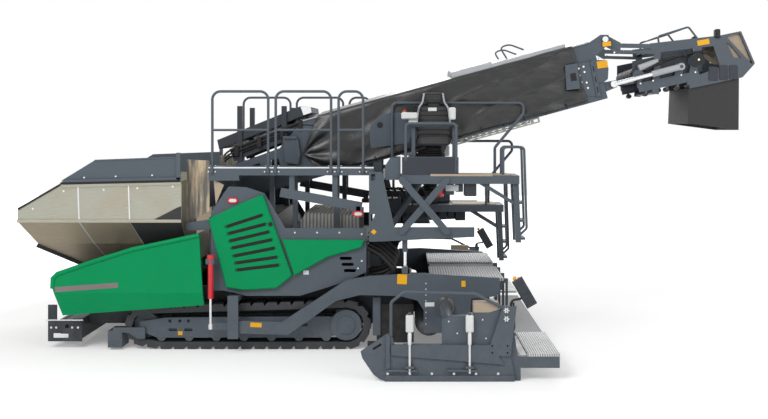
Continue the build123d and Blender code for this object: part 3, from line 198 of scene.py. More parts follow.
# %% Shared effects
def group(name, inputs, outputs):
    """Empty shader group with float or colour sockets; gives the tree, its inputs and its output node."""
    tree = bpy.data.node_groups.new(name, "ShaderNodeTree")
    for label, kind, value in inputs:
        socket = tree.interface.new_socket(label, in_out="INPUT", socket_type=kind)
        socket.default_value = value
    for label, kind in outputs:
        tree.interface.new_socket(label, in_out="OUTPUT", socket_type=kind)
    start = tree.nodes.new("NodeGroupInput")
    end = tree.nodes.new("NodeGroupOutput")
    return tree, start.outputs, end


def weathering_group():
    """Tone varies with two noises; dust falls off with height; grain is a fine noise for bump."""
    number, colour = "NodeSocketFloat", "NodeSocketColor"
    inputs = [("Tone", colour, (0.5, 0.5, 0.5, 1)), ("Change", number, 0.12), ("Dust", number, 0.2)]
    inputs += [("Dust Top", number, 1.2), ("Rough", number, 0.4)]
    outputs = [("Colour", colour), ("Rough", number), ("Grain", number)]
    tree, given, end = group("weathering", inputs, outputs)
    spot = place_in(tree)
    broad = noise(tree, spot, 1.7, 4)
    fine = noise(tree, spot, 23, 5, 0.65)
    both = math(tree, "ADD", math(tree, "MULTIPLY", broad, 0.65), math(tree, "MULTIPLY", fine, 0.35))
    dark = mix(tree, math(tree, "MULTIPLY", given["Change"], 3.0), given["Tone"], (0.02, 0.02, 0.02, 1))
    spread = ramp(tree, both, 0.38, 0.62)
    toned = mix(tree, math(tree, "MULTIPLY", math(tree, "SUBTRACT", 1, spread), 0.45), given["Tone"], dark)
    height = add(tree, "ShaderNodeSeparateXYZ", Vector=spot).outputs[2]
    low = math(tree, "DIVIDE", math(tree, "SUBTRACT", given["Dust Top"], height), given["Dust Top"], True)
    patch = ramp(tree, noise(tree, spot, 6, 6, 0.7), 0.42, 0.7)
    dust = math(tree, "MULTIPLY", math(tree, "MULTIPLY", low, patch), given["Dust"], True)
    tree.links.new(mix(tree, dust, toned, (0.36, 0.33, 0.29, 1)), end.inputs["Colour"])
    rough = math(tree, "ADD", given["Rough"], math(tree, "MULTIPLY", dust, 0.4))
    swing = math(tree, "MULTIPLY", math(tree, "SUBTRACT", fine, 0.5), 0.18)
    tree.links.new(math(tree, "ADD", rough, swing, True), end.inputs["Rough"])
    tree.links.new(noise(tree, spot, 260, 2), end.inputs["Grain"])
    return tree


def edge_wear_group():
    """Mask of bare edges: one minus the dot of the true and the rounded normal, broken by noise."""
    number = "NodeSocketFloat"
    inputs = [("Reach", number, 0.006), ("Amount", number, 0.5)]
    tree, given, end = group("edge_wear", inputs, [("Mask", number)])
    rounded = add(tree, "ShaderNodeBevel", {"samples": 4}, Radius=given["Reach"]).outputs[0]
    true = add(tree, "ShaderNodeNewGeometry").outputs["True Normal"]
    dot = add(
        tree, "ShaderNodeVectorMath", {"operation": "DOT_PRODUCT"}, i0=rounded, i1=true,
    ).outputs["Value"]
    edge = ramp(tree, math(tree, "SUBTRACT", 1, dot), 0.04, 0.25)
    broken = ramp(tree, noise(tree, place_in(tree), 14, 6, 0.7), 0.46, 0.62)
    worn = math(tree, "MULTIPLY", math(tree, "MULTIPLY", edge, broken), given["Amount"], True)
    tree.links.new(worn, end.inputs["Mask"])
    return tree


WEATHERING = weathering_group()
EDGE_WEAR = edge_wear_group()
print("effects", WEATHERING.name, EDGE_WEAR.name)

# %% [markdown]
# Finishes. The machine is painted in gloss green and satin slate, and hot mix touches bare brushed
# steel. Every finish is a Principled surface with the two effects above in front of it.

# %% Painted finishes
def start_finish(name):
    """Empty material; gives it with its tree."""
    finish = bpy.data.materials.new(name)
    finish.use_nodes = True
    finish.node_tree.nodes.clear()
    return finish, finish.node_tree


def weathered(tree, tone, change, dust, dust_top, rough):
    """Node of the weathering group with its values."""
    node = tree.nodes.new("ShaderNodeGroup")
    node.node_tree = WEATHERING
    values = {"Tone": (*tone, 1), "Change": change, "Dust": dust, "Dust Top": dust_top, "Rough": rough}
    for key, value in values.items():
        node.inputs[key].default_value = value
    return node.outputs


def worn_edges(tree, reach, amount):
    """Mask of the edge wear group."""
    node = tree.nodes.new("ShaderNodeGroup")
    node.node_tree = EDGE_WEAR
    node.inputs["Reach"].default_value = reach
    node.inputs["Amount"].default_value = amount
    return node.outputs["Mask"]


def close_finish(tree, colour, rough, height, bump, depth, **sockets):
    """Principled surface with colour, roughness and a bump; other values are set on its sockets."""
    normal = add(tree, "ShaderNodeBump", Strength=bump, Distance=depth, Height=height).outputs[0]
    surface = add(tree, "ShaderNodeBsdfPrincipled", Normal=normal, Roughness=rough, Base_Color=colour)
    for key, value in sockets.items():
        surface.inputs[key.replace("_", " ")].default_value = value
    add(tree, "ShaderNodeOutputMaterial", Surface=surface.outputs[0])
    return surface


def paint(name, tone, rough=0.38, change=0.10, dust=0.35, dust_top=1.3, wear=0.5, coat=0.0, shine=0.25):
    """Painted sheet: weathered tone, lighter worn edges, orange-peel grain, clear coat on gloss paint."""
    finish, tree = start_finish(name)
    tone = tuple(tone)
    worn = weathered(tree, tone, change, dust, dust_top, rough)
    pale = tuple(0.55 * c + 0.16 for c in tone)
    colour = mix(tree, worn_edges(tree, 0.008, wear), worn["Colour"], (*pale, 1))
    close_finish(tree, colour, worn["Rough"], worn["Grain"], 0.12, 0.0006, Coat_Weight=coat,
                 Coat_Roughness=0.12, Specular_IOR_Level=shine)
    return finish


GREEN = paint("green_gloss", (0.0, 0.262, 0.088), rough=0.34, change=0.05, dust=0.04, wear=0.2, shine=0.1)
SLATE = paint("slate_satin", (0.080, 0.098, 0.119), rough=0.42, change=0.05, dust=0.10)
DARK = paint("dark_satin", (0.035, 0.042, 0.052), rough=0.45, change=0.06, dust=0.12)
PALE = paint("pale_satin", (0.42, 0.44, 0.46), rough=0.42, change=0.06, dust=0.1)
RED = paint("red_gloss", (0.60, 0.014, 0.022), rough=0.3, dust=0.1, coat=0.4)
YELLOW = paint("amber_plate", (0.85, 0.42, 0.01), rough=0.4, dust=0.1, wear=0.0)
WHITE = paint("white_moulding", (0.72, 0.73, 0.73), rough=0.4, dust=0.05, wear=0.0)
BLACK = paint("black_moulding", (0.012, 0.012, 0.013), rough=0.45, dust=0.1, wear=0.1)
BEIGE = paint("beige_sheet", (0.42, 0.34, 0.25), rough=0.5, change=0.1, dust=0.15)
print("painted finishes made")

# %% [markdown]
# Bare metal. The hopper's steel was rolled, so its brush marks are a noise stretched along the
# sheet. It has gone warm where hot mix lay against it. Cylinder rods are bright chrome, and tracks
# are dark iron.

# %% Bare metals
def brushed(
    name, tone, warm, rough, stain, stretch=(60, 60, 1.5), metallic=1.0, scorch=0.0, knee=1.0, streak=0.28,
):
    """Metal with brush marks: noise stretched along one axis. Stains are a broad noise, and the metal
    below the knee's height takes the warm tone by the scorch's share."""
    finish, tree = start_finish(name)
    marks = noise(tree, place_in(tree, stretch), 3.0, 4, 0.6)
    cloud = ramp(tree, noise(tree, place_in(tree), 2.2, 5, 0.62), 0.45, 0.68)
    height = add(tree, "ShaderNodeSeparateXYZ", Vector=place_in(tree)).outputs[2]
    low = ramp(tree, height, knee - 0.02, knee + 0.02, scorch, 0.0)
    share = math(tree, "MAXIMUM", math(tree, "MULTIPLY", cloud, stain), low)
    colour = mix(tree, share, (*tone, 1), (*warm, 1))
    shade = mix(tree, ramp(tree, marks, 0.3, 0.7, 0.0, streak), colour, (0.12, 0.115, 0.105, 1))
    roughness = ramp(tree, marks, 0.25, 0.75, rough - 0.08, rough + 0.12)
    close_finish(tree, shade, roughness, marks, 0.15, 0.0008, Metallic=metallic)
    return finish


STEEL = brushed(
    "rolled_steel", (0.37, 0.37, 0.31), (0.36, 0.29, 0.20), 0.36, 0.4, (2, 60, 60), 0.8,
    scorch=0.8, knee=1.745
)
SCORCHED = brushed(
    "scorched_steel", (0.62, 0.50, 0.33), (0.30, 0.22, 0.13), 0.4, 0.8, (5, 5, 0.5), 0.7, streak=1.6,
)
CHROME = brushed("rod_chrome", (0.70, 0.71, 0.72), (0.6, 0.6, 0.6), 0.22, 0.1, streak=0.05)
ALU = brushed("mill_aluminium", (0.72, 0.73, 0.74), (0.55, 0.55, 0.55), 0.4, 0.3)
IRON = brushed("track_iron", (0.026, 0.031, 0.038), (0.05, 0.052, 0.055), 0.5, 0.4, metallic=0.4)
ZINC = brushed("dull_zinc", (0.36, 0.365, 0.35), (0.26, 0.25, 0.22), 0.5, 0.4, metallic=0.6)
print("metals made")

# %% [markdown]
# Rubber, coated cloth and seat fabric. Rubber is dull with a chalky bloom. The tarpaulin is a
# coated cloth: near black, with a soft shine and a fine weave under the coating.

# %% Rubber and cloth finishes
def rubber(name, tone, rough):
    """Dull black with a pale bloom where the broad noise is high."""
    finish, tree = start_finish(name)
    worn = weathered(tree, tone, 0.1, 0.08, 1.5, rough)
    close_finish(tree, worn["Colour"], worn["Rough"], worn["Grain"], 0.3, 0.001)
    return finish


def coated_cloth(name, tone, rough, threads):
    """Two crossed wave patterns make the weave's height; the weathering tints it."""
    finish, tree = start_finish(name)
    worn = weathered(tree, tone, 0.1, 0.03, 3.0, rough)
    spot = place_in(tree)
    along = add(tree, "ShaderNodeTexWave", {"bands_direction": "X"}, Vector=spot, Scale=threads).outputs[1]
    across = add(tree, "ShaderNodeTexWave", {"bands_direction": "Z"}, Vector=spot, Scale=threads).outputs[1]
    weave = math(tree, "MULTIPLY", along, across)
    close_finish(
        tree, worn["Colour"], worn["Rough"], weave, 0.25, 0.0008, Sheen_Weight=0.06,
        Specular_IOR_Level=0.55,
    )
    return finish


RUBBER = rubber("black_rubber", (0.013, 0.013, 0.0135), 0.62)
TARP = coated_cloth("coated_tarpaulin", (0.008, 0.0085, 0.009), 0.3, 90)
SEAT_CLOTH = coated_cloth("seat_cloth", (0.018, 0.018, 0.02), 0.7, 160)
print("soft finishes made")

# %% [markdown]
# Walking surfaces. The deck and the screed's walkway are chequer plate, and the extension steps are
# ridged aluminium. Both patterns are waves on Object coordinates that drive the bump. The same waves
# also paint shade into the ridges' valleys and a highlight onto the studs.

# %% Walking surfaces
def ridged(name, tone, pitch, axis, metallic):
    """Ridges: a sine of the place along one axis, as bump height; the valleys between ridges are painted
    darker as shade.
    """
    finish, tree = start_finish(name)
    spot = place_in(tree)
    wave = add(
        tree, "ShaderNodeTexWave", {"bands_direction": axis, "wave_profile": "SIN"}, Vector=spot,
        Scale=0.314 / pitch,
    )
    ridge = wave.outputs[1]
    worn = weathered(tree, tone, 0.15, 0.25, 1.5, 0.42)
    # Painted shade: the lower part of each ridge wave is mixed towards black.
    dark = mix(tree, ramp(tree, ridge, 0.0, 0.6, 0.65, 0.0), worn["Colour"], (0.03, 0.03, 0.03, 1))
    close_finish(tree, dark, worn["Rough"], ridge, 0.8, 0.006, Metallic=metallic)
    return finish


def chequer(name, tone, pitch):
    """Studs: the product of two crossed slanting waves, cut to its peaks; the studs are painted lighter as a
    highlight.
    """
    finish, tree = start_finish(name)
    spot = place_in(tree, turn=(0, 0, radians(45)))
    a = add(
        tree, "ShaderNodeTexWave", {"bands_direction": "X"}, Vector=spot, Scale=0.314 / pitch,
    ).outputs[1]
    b = add(
        tree, "ShaderNodeTexWave", {"bands_direction": "Y"}, Vector=spot, Scale=0.314 / pitch,
    ).outputs[1]
    stud = ramp(tree, math(tree, "MULTIPLY", a, b), 0.25, 0.6)
    worn = weathered(tree, tone, 0.15, 0.3, 1.5, 0.42)
    # Painted highlight: the studs are mixed towards light grey.
    bright = mix(tree, math(tree, "MULTIPLY", stud, 0.35), worn["Colour"], (0.34, 0.35, 0.36, 1))
    close_finish(tree, bright, worn["Rough"], stud, 0.8, 0.004)
    return finish


RIDGED = ridged("ridged_aluminium", (0.60, 0.61, 0.62), 0.028, "X", 0.8)
RIDGED_COVER = ridged("ridged_cover", (0.40, 0.41, 0.42), 0.036, "X", 0.5)
RIDGED_COOLER = ridged("ridged_cooler", (0.40, 0.40, 0.38), 0.05, "X", 0.5)
CHEQUER = chequer("chequer_plate", (0.09, 0.10, 0.115), 0.035)
print("walking surfaces made")

# %% [markdown]
# Every CAD node keeps its shape and takes the finish of its slot. A few nodes of the same slot
# differ on the real machine and are named one by one.

# %% Dress the CAD nodes
SLOT_FINISH = {
    "green_paint": GREEN,
    "grey_paint": SLATE,
    "dark_paint": DARK,
    "stainless": STEEL,
    "track_steel": IRON,
    "red_paint": RED,
    "ridged_alu": RIDGED,
    "rod_chrome": CHROME,
    "belt_rubber": RUBBER,
    "sheet_cloth": TARP,
    "seat_cloth": SEAT_CLOTH,
    "light_paint": PALE,
}
NODE_FINISH = {
    "throat_plates": SCORCHED,
    "screed_cover": RIDGED_COVER,
    "screed_walkway": CHEQUER,
    "cooler_cover": RIDGED_COOLER,
    "belt_guards": ZINC,
    "fold_barrels": PALE,
}
for part in record["subparts"]:
    thing = nodes[part["node"]]
    finish = NODE_FINISH.get(part["node"], SLOT_FINISH[part["material_slot"]])
    thing.data.materials.clear()
    thing.data.materials.append(finish)
print("dressed", len(record["subparts"]), "nodes")

# %% [markdown]
# New pieces are surfaces. A `Shape` gathers grids of points: every grid is a function of two
# parameters, or a profile carried along a path, worked out as whole arrays. One mesh is made of
# them at the end, with its faces turned outwards.

# %% Surface helpers
class Shape:
    """Gathers grids of points into one mesh."""

    def __init__(self):
        self.points, self.faces, self.count = [], [], 0

    def grid(self, rows, wrap_rows=False, wrap_columns=False, caps=False):
        """Quads over points (rows, columns, 3); wrapping joins last to first, caps close the end rows."""
        rows = np.asarray(rows, float)
        index = np.arange(rows.shape[0] * rows.shape[1]).reshape(rows.shape[:2]) + self.count
        net = np.vstack([index, index[:1]]) if wrap_rows else index
        net = np.hstack([net, net[:, :1]]) if wrap_columns else net
        quads = np.stack([net[:-1, :-1], net[:-1, 1:], net[1:, 1:], net[1:, :-1]], -1)
        self.faces += quads.reshape(-1, 4).tolist()
        if caps:
            self.faces += [index[0][::-1].tolist(), index[-1].tolist()]
        self.points.append(rows.reshape(-1, 3))
        self.count += index.size
        return self

    def mirrored(self):
        """The same shape on the other side of the machine's middle plane."""
        other = Shape()
        other.points = [rows * (1, -1, 1) for rows in self.points]
        other.faces, other.count = [face[::-1] for face in self.faces], self.count
        return other

    def make(self, name, finish, body, slot=None, smooth=None):
        """Mesh object of the shape, riding on a body; smooth is the angle above which edges stay sharp."""
        data = bpy.data.meshes.new(name)
        data.from_pydata(np.concatenate(self.points), [], self.faces)
        net = bmesh.new()
        net.from_mesh(data)
        bmesh.ops.recalc_face_normals(net, faces=net.faces)
        net.to_mesh(data)
        net.free()
        if smooth:
            data.shade_smooth()
            data.set_sharp_from_angle(angle=radians(smooth))
        data.materials.append(finish)
        thing = bpy.data.objects.new(name, data)
        bpy.context.collection.objects.link(thing)
        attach(thing, body)
        return thing


def drawn_in(outline, by):
    """Outline with every corner moved inwards along the mitre of its two edges."""
    ahead = np.roll(outline, -1, 0) - outline
    ahead = ahead / np.linalg.norm(ahead, axis=1, keepdims=True)
    behind = np.roll(ahead, 1, 0)
    left_a = np.stack([-ahead[:, 1], ahead[:, 0]], 1)
    left_b = np.stack([-behind[:, 1], behind[:, 0]], 1)
    mitre = (left_a + left_b) / (1 + (left_a * left_b).sum(1, keepdims=True))
    after = np.roll(outline, -1, 0)
    area = (outline[:, 0] * after[:, 1] - after[:, 0] * outline[:, 1]).sum()
    return outline + np.sign(area) * by * mitre


def slab(outline, low, high, edge=0.004, axis="y"):
    """Plate: an outline carried from low to high along an axis; its end rings are drawn in as a chamfer."""
    outline = np.asarray(outline, float)
    low, high = min(low, high), max(low, high)
    small = drawn_in(outline, edge)
    rings = np.stack([small, outline, outline, small])
    depth = np.array([low, low + edge, high - edge, high])[:, None] * np.ones(len(outline))
    columns = {"y": (rings[..., 0], depth, rings[..., 1]), "x": (depth, rings[..., 0], rings[..., 1])}
    columns["z"] = (rings[..., 0], rings[..., 1], depth)
    return np.stack(columns[axis], -1)


def chamfered(a0, a1, b0, b1, cut):
    """Rectangle with cut corners, as eight points."""
    return [(a0 + cut, b0), (a1 - cut, b0), (a1, b0 + cut), (a1, b1 - cut),
            (a1 - cut, b1), (a0 + cut, b1), (a0, b1 - cut), (a0, b0 + cut)]


def rounded(a0, a1, b0, b1, r, steps=5):
    """Rectangle with round corners: a quarter circle about each corner's centre."""
    turn = np.linspace(0, pi / 2, steps)
    centres = [(a1 - r, b1 - r, 0), (a0 + r, b1 - r, 1), (a0 + r, b0 + r, 2), (a1 - r, b0 + r, 3)]
    arcs = [
        np.stack([a + r * np.cos(turn + q * pi / 2), b + r * np.sin(turn + q * pi / 2)], 1)
        for a, b, q in centres
    ]
    return np.concatenate(arcs)


def boxed(shape, x, y, z, edge=0.004, cut=None):
    """Box with chamfered edges between the ends of three ranges."""
    x, y, z = sorted(x), sorted(y), sorted(z)
    outline = chamfered(x[0], x[1], z[0], z[1], cut or edge)
    return shape.grid(slab(outline, y[0], y[1], edge), wrap_columns=True, caps=True)


def plated(shape, outline, y, edge=0.004):
    """Plate of an (x, z) outline between two y."""
    return shape.grid(slab(outline, y[0], y[1], edge), wrap_columns=True, caps=True)


def strip(a, b, width):
    """Outline of a flat bar between two (x, z) points."""
    a, b = np.array(a, float), np.array(b, float)
    way = (b - a) / np.linalg.norm(b - a)
    side = np.array([-way[1], way[0]]) * width / 2
    return np.stack([a - side, b - side, b + side, a + side])


def bent(points, r, steps=6):
    """Line of points with its corners rounded: a parabola from r before each corner to r after it."""
    points = np.asarray(points, float)
    back = points[:-2] - points[1:-1]
    ahead = points[2:] - points[1:-1]
    reach = np.minimum(r, 0.45 * np.minimum(np.linalg.norm(back, axis=1), np.linalg.norm(ahead, axis=1)))
    start = points[1:-1] + back / np.linalg.norm(back, axis=1, keepdims=True) * reach[:, None]
    stop = points[1:-1] + ahead / np.linalg.norm(ahead, axis=1, keepdims=True) * reach[:, None]
    share = np.linspace(0, 1, steps)[None, :, None]
    corner = 2 * points[1:-1][:, None] * share * (1 - share)
    arcs = start[:, None] * (1 - share) ** 2 + corner + stop[:, None] * share**2
    return np.concatenate([points[:1], arcs.reshape(-1, 3), points[-1:]])


def tubed(shape, points, r, bend=0.05, sides=10, up=(0, 1, 0)):
    """Round tube: a circle carried along a line with rounded corners; up is a way the line never takes."""
    path = bent(points, bend) if len(points) > 2 else np.asarray(points, float)
    way = np.gradient(path, axis=0)
    way = way / np.linalg.norm(way, axis=1, keepdims=True)
    side = np.cross(way, up)
    side = side / np.linalg.norm(side, axis=1, keepdims=True)
    third = np.cross(side, way)
    turn = np.linspace(0, 2 * pi, sides, endpoint=False)
    ring = np.cos(turn)[None, :, None] * side[:, None] + np.sin(turn)[None, :, None] * third[:, None]
    return shape.grid(path[:, None] + r * ring, wrap_columns=True, caps=True)


def turned(shape, profile, spot, axis=(0, 1, 0), sides=20, hollow=False):
    """Lathe form: rows of (radius, height) turned about an axis through a spot; hollow makes a ring."""
    axis = np.array(axis, float) / np.linalg.norm(axis)
    other = np.array([0, 0, 1.0]) if abs(axis[2]) < 0.9 else np.array([1.0, 0, 0])
    side = np.cross(axis, other)
    side = side / np.linalg.norm(side)
    third = np.cross(axis, side)
    turn = np.linspace(0, 2 * pi, sides, endpoint=False)
    ring = np.cos(turn)[:, None] * side + np.sin(turn)[:, None] * third
    profile = np.asarray(profile, float)
    rows = profile[:, 0, None, None] * ring[None] + profile[:, 1, None, None] * axis
    rows = rows + np.array(spot, float)
    return shape.grid(rows, wrap_rows=hollow, wrap_columns=True, caps=not hollow)


def knob(r, height, edge=0.15):
    """Profile of a disc with rounded rims: radius and height."""
    e = edge * min(r, height)
    return [(r - e, 0), (r, e), (r, height - e), (r - e, height)]


def bolted(shape, spots, y, r=0.014, height=0.012, out=-1):
    """Hexagon heads on a face square to Y, one for each (x, z) spot."""
    for x, z in spots:
        turned(shape, knob(r, height), (x, y, z), (0, out, 0), sides=6)
    return shape


PIVOT = {j["name"]: np.array(j["pos_m"]) for j in record["behaviour"]["joints"] if "pos_m" in j}
BOOM_LEAN = radians(15.3)
BOOM_WAY = np.array([cos(BOOM_LEAN), sin(BOOM_LEAN)])
BOOM_UP = np.array([-sin(BOOM_LEAN), cos(BOOM_LEAN)])


def on_boom(s, t):
    """(x, z) of a spot s along the boom from its pivot and t square to it."""
    start = PIVOT["boom_lift"][[0, 2]]
    along = np.multiply.outer(np.asarray(s, float), BOOM_WAY)
    return start + along + np.multiply.outer(np.asarray(t, float), BOOM_UP)


print("surface helpers ready, boom pivot at", PIVOT["boom_lift"])

# %% [markdown]
# Black tarpaulin over the conveyor. It is one sheet, laid over the lid and tied along the lower
# edge on both sides. A plane with a cloth simulation would give folds too, but the pattern of this
# one is set by its ties: folds fan out from the pinned front corner and sag between the ties. So
# the sheet is a grid of (way along the boom, way across), and the folds are added as waves.

# %% Tarpaulin
TARP_START, TARP_STOP = 1.20, 5.26
TARP_LOW, TARP_SIDE = -0.09, 0.648
TARP_SHOULDER, TARP_RIDGE = 0.722, 0.778


def tarp_section(count=34):
    """Half section from the lower edge up the side and in to the ridge: (y, t)."""
    t = np.linspace(TARP_LOW, TARP_SHOULDER - 0.03, count)
    turn = np.linspace(0.15, pi / 2 - 0.1, 5)
    y = np.concatenate(
        [np.full(count, TARP_SIDE), TARP_SIDE - 0.03 + 0.03 * np.cos(turn), np.linspace(0.58, 0.0, 9)]
    )
    top = TARP_RIDGE - (TARP_RIDGE - TARP_SHOULDER) * np.linspace(0.58, 0.0, 9) / TARP_SIDE
    return y, np.concatenate([t, TARP_SHOULDER - 0.03 + 0.03 * np.sin(turn), top])


def tarp_folds(s, t):
    """How far the cloth stands off: a fan from the pinned corner, swags, creases and sharp tension folds."""
    away = np.hypot(s - TARP_START, t - 0.25)
    angle = np.arctan2(t - 0.25, s - TARP_START + 0.02)
    fan = 0.022 * np.sin(11 * angle + 0.6) * np.exp(-away / 0.9) * np.clip(away / 0.15, 0, 1)
    low = np.clip(1 - (t - TARP_LOW) / 0.55, 0, 1)
    swag = 0.016 * np.abs(np.sin(pi * s / 0.62)) * low**2
    crease = 0.014 * np.sin(
        6.0 * s - 15 * t + 1.8 * np.sin(2.1 * s)
    ) * np.clip(0.35 + np.sin(1.1 * s), 0, 1)
    pull = 1 - np.abs(np.sin(2.6 * s - 9.0 * t + 0.9 * np.sin(1.9 * s + 3 * t)))
    tension = 0.018 * pull**2 * np.clip((s - 2.9) / 0.6, 0, 1)
    cross = 0.012 * np.sin(10.0 * s + 21 * t) * np.exp(-((s - 4.75) ** 2) / 0.45)
    small = 0.003 * np.sin(13 * s + 9 * t + 2 * np.sin(3 * s)) * np.sin(11 * t - 4 * s + 1.0)
    return 0.018 + fan + swag + crease + tension + cross + small


def tarp_grid(columns=300):
    """Points of the sheet: both halves of the section carried along the boom, its front edge slanted."""
    y, t = tarp_section()
    y, t = np.concatenate([-y, y[-2::-1]]), np.concatenate([t, t[-2::-1]])
    front = TARP_START + np.where(t < 0.25, (0.25 - t) * 0.7, (t - 0.25) * 0.72)
    share = np.linspace(0, 1, columns)[:, None]
    s = front + (TARP_STOP - front) * share
    tt = np.broadcast_to(t, s.shape)
    stand = np.clip(tarp_folds(s, tt), 0.002, 0.055)
    side = np.clip((TARP_SHOULDER - tt) / 0.04, 0, 1)
    yy = np.broadcast_to(y, s.shape)
    yy = yy + np.sign(yy) * stand * side
    lift = 0.25 * stand * (1 - side)
    spot = on_boom(s, tt + lift)
    return np.stack([spot[..., 0], yy, spot[..., 1]], -1)


tarp_rows = tarp_grid()
tarp = Shape().grid(tarp_rows).make("conveyor_tarpaulin", TARP, "boom", "sheet_cloth", smooth=60)
skin = tarp.modifiers.new("thickness", "SOLIDIFY")
skin.thickness = 0.002
skin.offset = 1
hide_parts("boom_tarps")

# %% [markdown]
# From here on the trim goes on, area by area. Most of it is the same on both sides of the machine,
# so `pair` makes the left piece and its mirror image, each riding on its own body.

# %% Pairs and plates
def pair(shape, name, finish, body, slot, smooth=None, other=None):
    """The left piece and its mirror image; other is the right one's body where it differs."""
    left = shape.make(f"{name}_left", finish, body, slot, smooth)
    right = shape.mirrored().make(f"{name}_right", finish, other or body, slot, smooth)
    return left, right


def plates(spots, y, thick=0.002):
    """Blank plates on a face at y: rows of x, z, width, height and turn in degrees."""
    shape = Shape()
    for x, z, width, height, turn in spots:
        way = np.array([cos(radians(turn)), sin(radians(turn))]) * width / 2
        plated(
            shape, strip((x - way[0], z - way[1]), (x + way[0], z + way[1]), height),
            (y - thick, y + 0.0005), 0.0004,
        )
    return shape


def bolts_up(shape, spots, z, r=0.012, height=0.010):
    """Hexagon heads on a level face, one for each (x, y) spot."""
    for x, y in spots:
        turned(shape, knob(r, height), (x, y, z), (0, 0, 1), sides=6)
    return shape


print("pairs ready")

# %% [markdown]
# The conveyor's own dress: the plate with a round hole that carries the boom's stay, handles on the
# raised covers, and oil pipes in clamps under the inlet beam. Plates are outlines carried across
# their thickness.

# %% Conveyor trim
def arc_points(x, z, r, start, stop, steps=10):
    """Points of an arc in the (x, z) plane; angles in degrees."""
    turn = np.radians(np.linspace(start, stop, steps))
    return np.stack([x + r * np.cos(turn), z + r * np.sin(turn)], 1)


def stay_plate():
    """Round-shouldered plate; its bolted rim and a black disc, painted shade for its round hole, are added
    after.
    """
    outline = np.concatenate(
        [arc_points(-0.12, 2.90, 0.30, 180, 90), [(0.20, 3.22), (0.26, 2.88), (0.22, 2.79), (-0.40, 2.70)]]
    )
    return plated(Shape(), outline, (-0.709, -0.697), 0.003)


stay = stay_plate()
bolted(
    stay, [(-0.35, 2.83), (-0.19, 2.82), (-0.16, 3.12), (0.12, 3.12), (0.14, 2.86)], -0.709, height=0.005,
)
stay.make("stay_plate_left", SLATE, "boom", "grey_paint")
stay.mirrored().make("stay_plate_right", SLATE, "boom", "grey_paint")
# Painted shade: a thin black disc on the plate stands for the dark inside its round hole.
hole = turned(
    Shape(), [(0.001, 0), (0.043, 0), (0.043, 0.003), (0.001, 0.003)], (-0.27, -0.709, 3.03), (0, -1, 0),
)
hole.make("stay_hole_left", BLACK, "boom", "dark_paint")
hole.mirrored().make("stay_hole_right", BLACK, "boom", "dark_paint")
handle = Shape()
for y in (-0.45, 0.45):
    rail = [
        (*on_boom(4.36, 0.78), y), (*on_boom(4.30, 0.98), y), (*on_boom(4.44, 0.99), y),
        (*on_boom(4.62, 0.86), y),
    ]
    tubed(handle, [(x, yy, z) for x, z, yy in rail], 0.012, 0.06)
handle.make("cover_handles", SLATE, "boom", "grey_paint", smooth=40)

backing = plated(Shape(), strip((-2.38, 2.60), (-1.32, 3.025), 0.19), (-0.56, -0.548), 0.003)
pair(backing, "inlet_backing", DARK, "boom", "dark_paint")
pipes = Shape()
for k, (y, down) in enumerate(((-0.60, 0.00), (-0.61, 0.05), (-0.58, 0.09), (0.60, 0.0), (0.61, 0.05))):
    line = [
        (-2.48, y, 2.60 - down), (-2.42, y, 2.66 - down), (-1.36, y, 3.085 - down), (-1.16, y, 3.07 - down),
    ]
    tubed(pipes, line, 0.014, 0.05)
for x in (-2.3, -1.98, -1.66, -1.4):
    z = 2.66 + (x + 2.42) * 0.401 - 0.045
    for y in (-0.60, 0.60):
        boxed(pipes, (x - 0.03, x + 0.03), (y - 0.045, y + 0.035), (z - 0.075, z + 0.075))
pipes.make("inlet_pipes", BLACK, "boom", "dark_paint", smooth=40)
caps = Shape()
for y in (-0.573, 0.573):
    plated(
        caps, [(-1.405, 3.296), (-1.255, 3.283), (-1.243, 3.207), (-1.36, 3.167)], (y - 0.008, y + 0.008),
        0.003,
    )
caps.make("inlet_end_caps", ALU, "boom", "ridged_alu")
side_box = Shape()
plated(
    side_box, [(-1.64, 2.86), (-1.43, 2.875), (-1.39, 2.62), (-1.42, 2.47), (-1.60, 2.50)], (-0.70, -0.665),
)
boxed(side_box, (-1.63, -1.44), (-0.73, -0.67), (2.835, 2.875))
side_box.make("inlet_gusset_left", SLATE, "boom", "grey_paint")
side_box.mirrored().make("inlet_gusset_right", SLATE, "boom", "grey_paint")
print("conveyor trim made")

# %% [markdown]
# The driver's seat is padded: a cushion, a ribbed back and a ribbed head rest on a rubber bellows.
# Each pad is a crowned closed form. Its sides pull in between the corners, and sewn channels are
# cut across it. The grid runs round the pad's outline and over its crown.

# %% Padded seats
def pad(x, y, z, channels, along, depth=0.010, steps=28):
    """Pad between three ranges: a superellipse in two ways; channels are grooves across one way."""
    centre = np.array([np.mean(x), np.mean(y), np.mean(z)])
    half = np.array([np.ptp(x), np.ptp(y), np.ptp(z)]) / 2
    u = np.linspace(-pi, pi, 2 * steps, endpoint=False)
    rise = np.linspace(-0.9995, 0.9995, max(steps, 9 * channels))
    v = np.arcsin(np.sign(rise) * np.abs(rise) ** (1 / 0.45))
    soft = lambda c, e: np.sign(c) * np.abs(c) ** e
    cu, su = soft(np.cos(u), 0.35), soft(np.sin(u), 0.35)
    cv, sv = soft(np.cos(v), 0.45), soft(np.sin(v), 0.45)
    rows = np.stack([cv[:, None] * cu, cv[:, None] * su, sv[:, None] * np.ones_like(u)], -1)
    level = rows[..., along]
    groove = np.exp(-((np.mod((level + 1) / 2 * channels + 0.5, 1) - 0.5) ** 2) / 0.006)
    groove = groove * (np.abs(level) < 0.93)
    shrink = 1 - depth / half.min() * groove
    keep = np.ones(3)
    keep[along] = 0
    rows = rows * (shrink[..., None] * keep + (1 - keep))
    return rows * half + centre


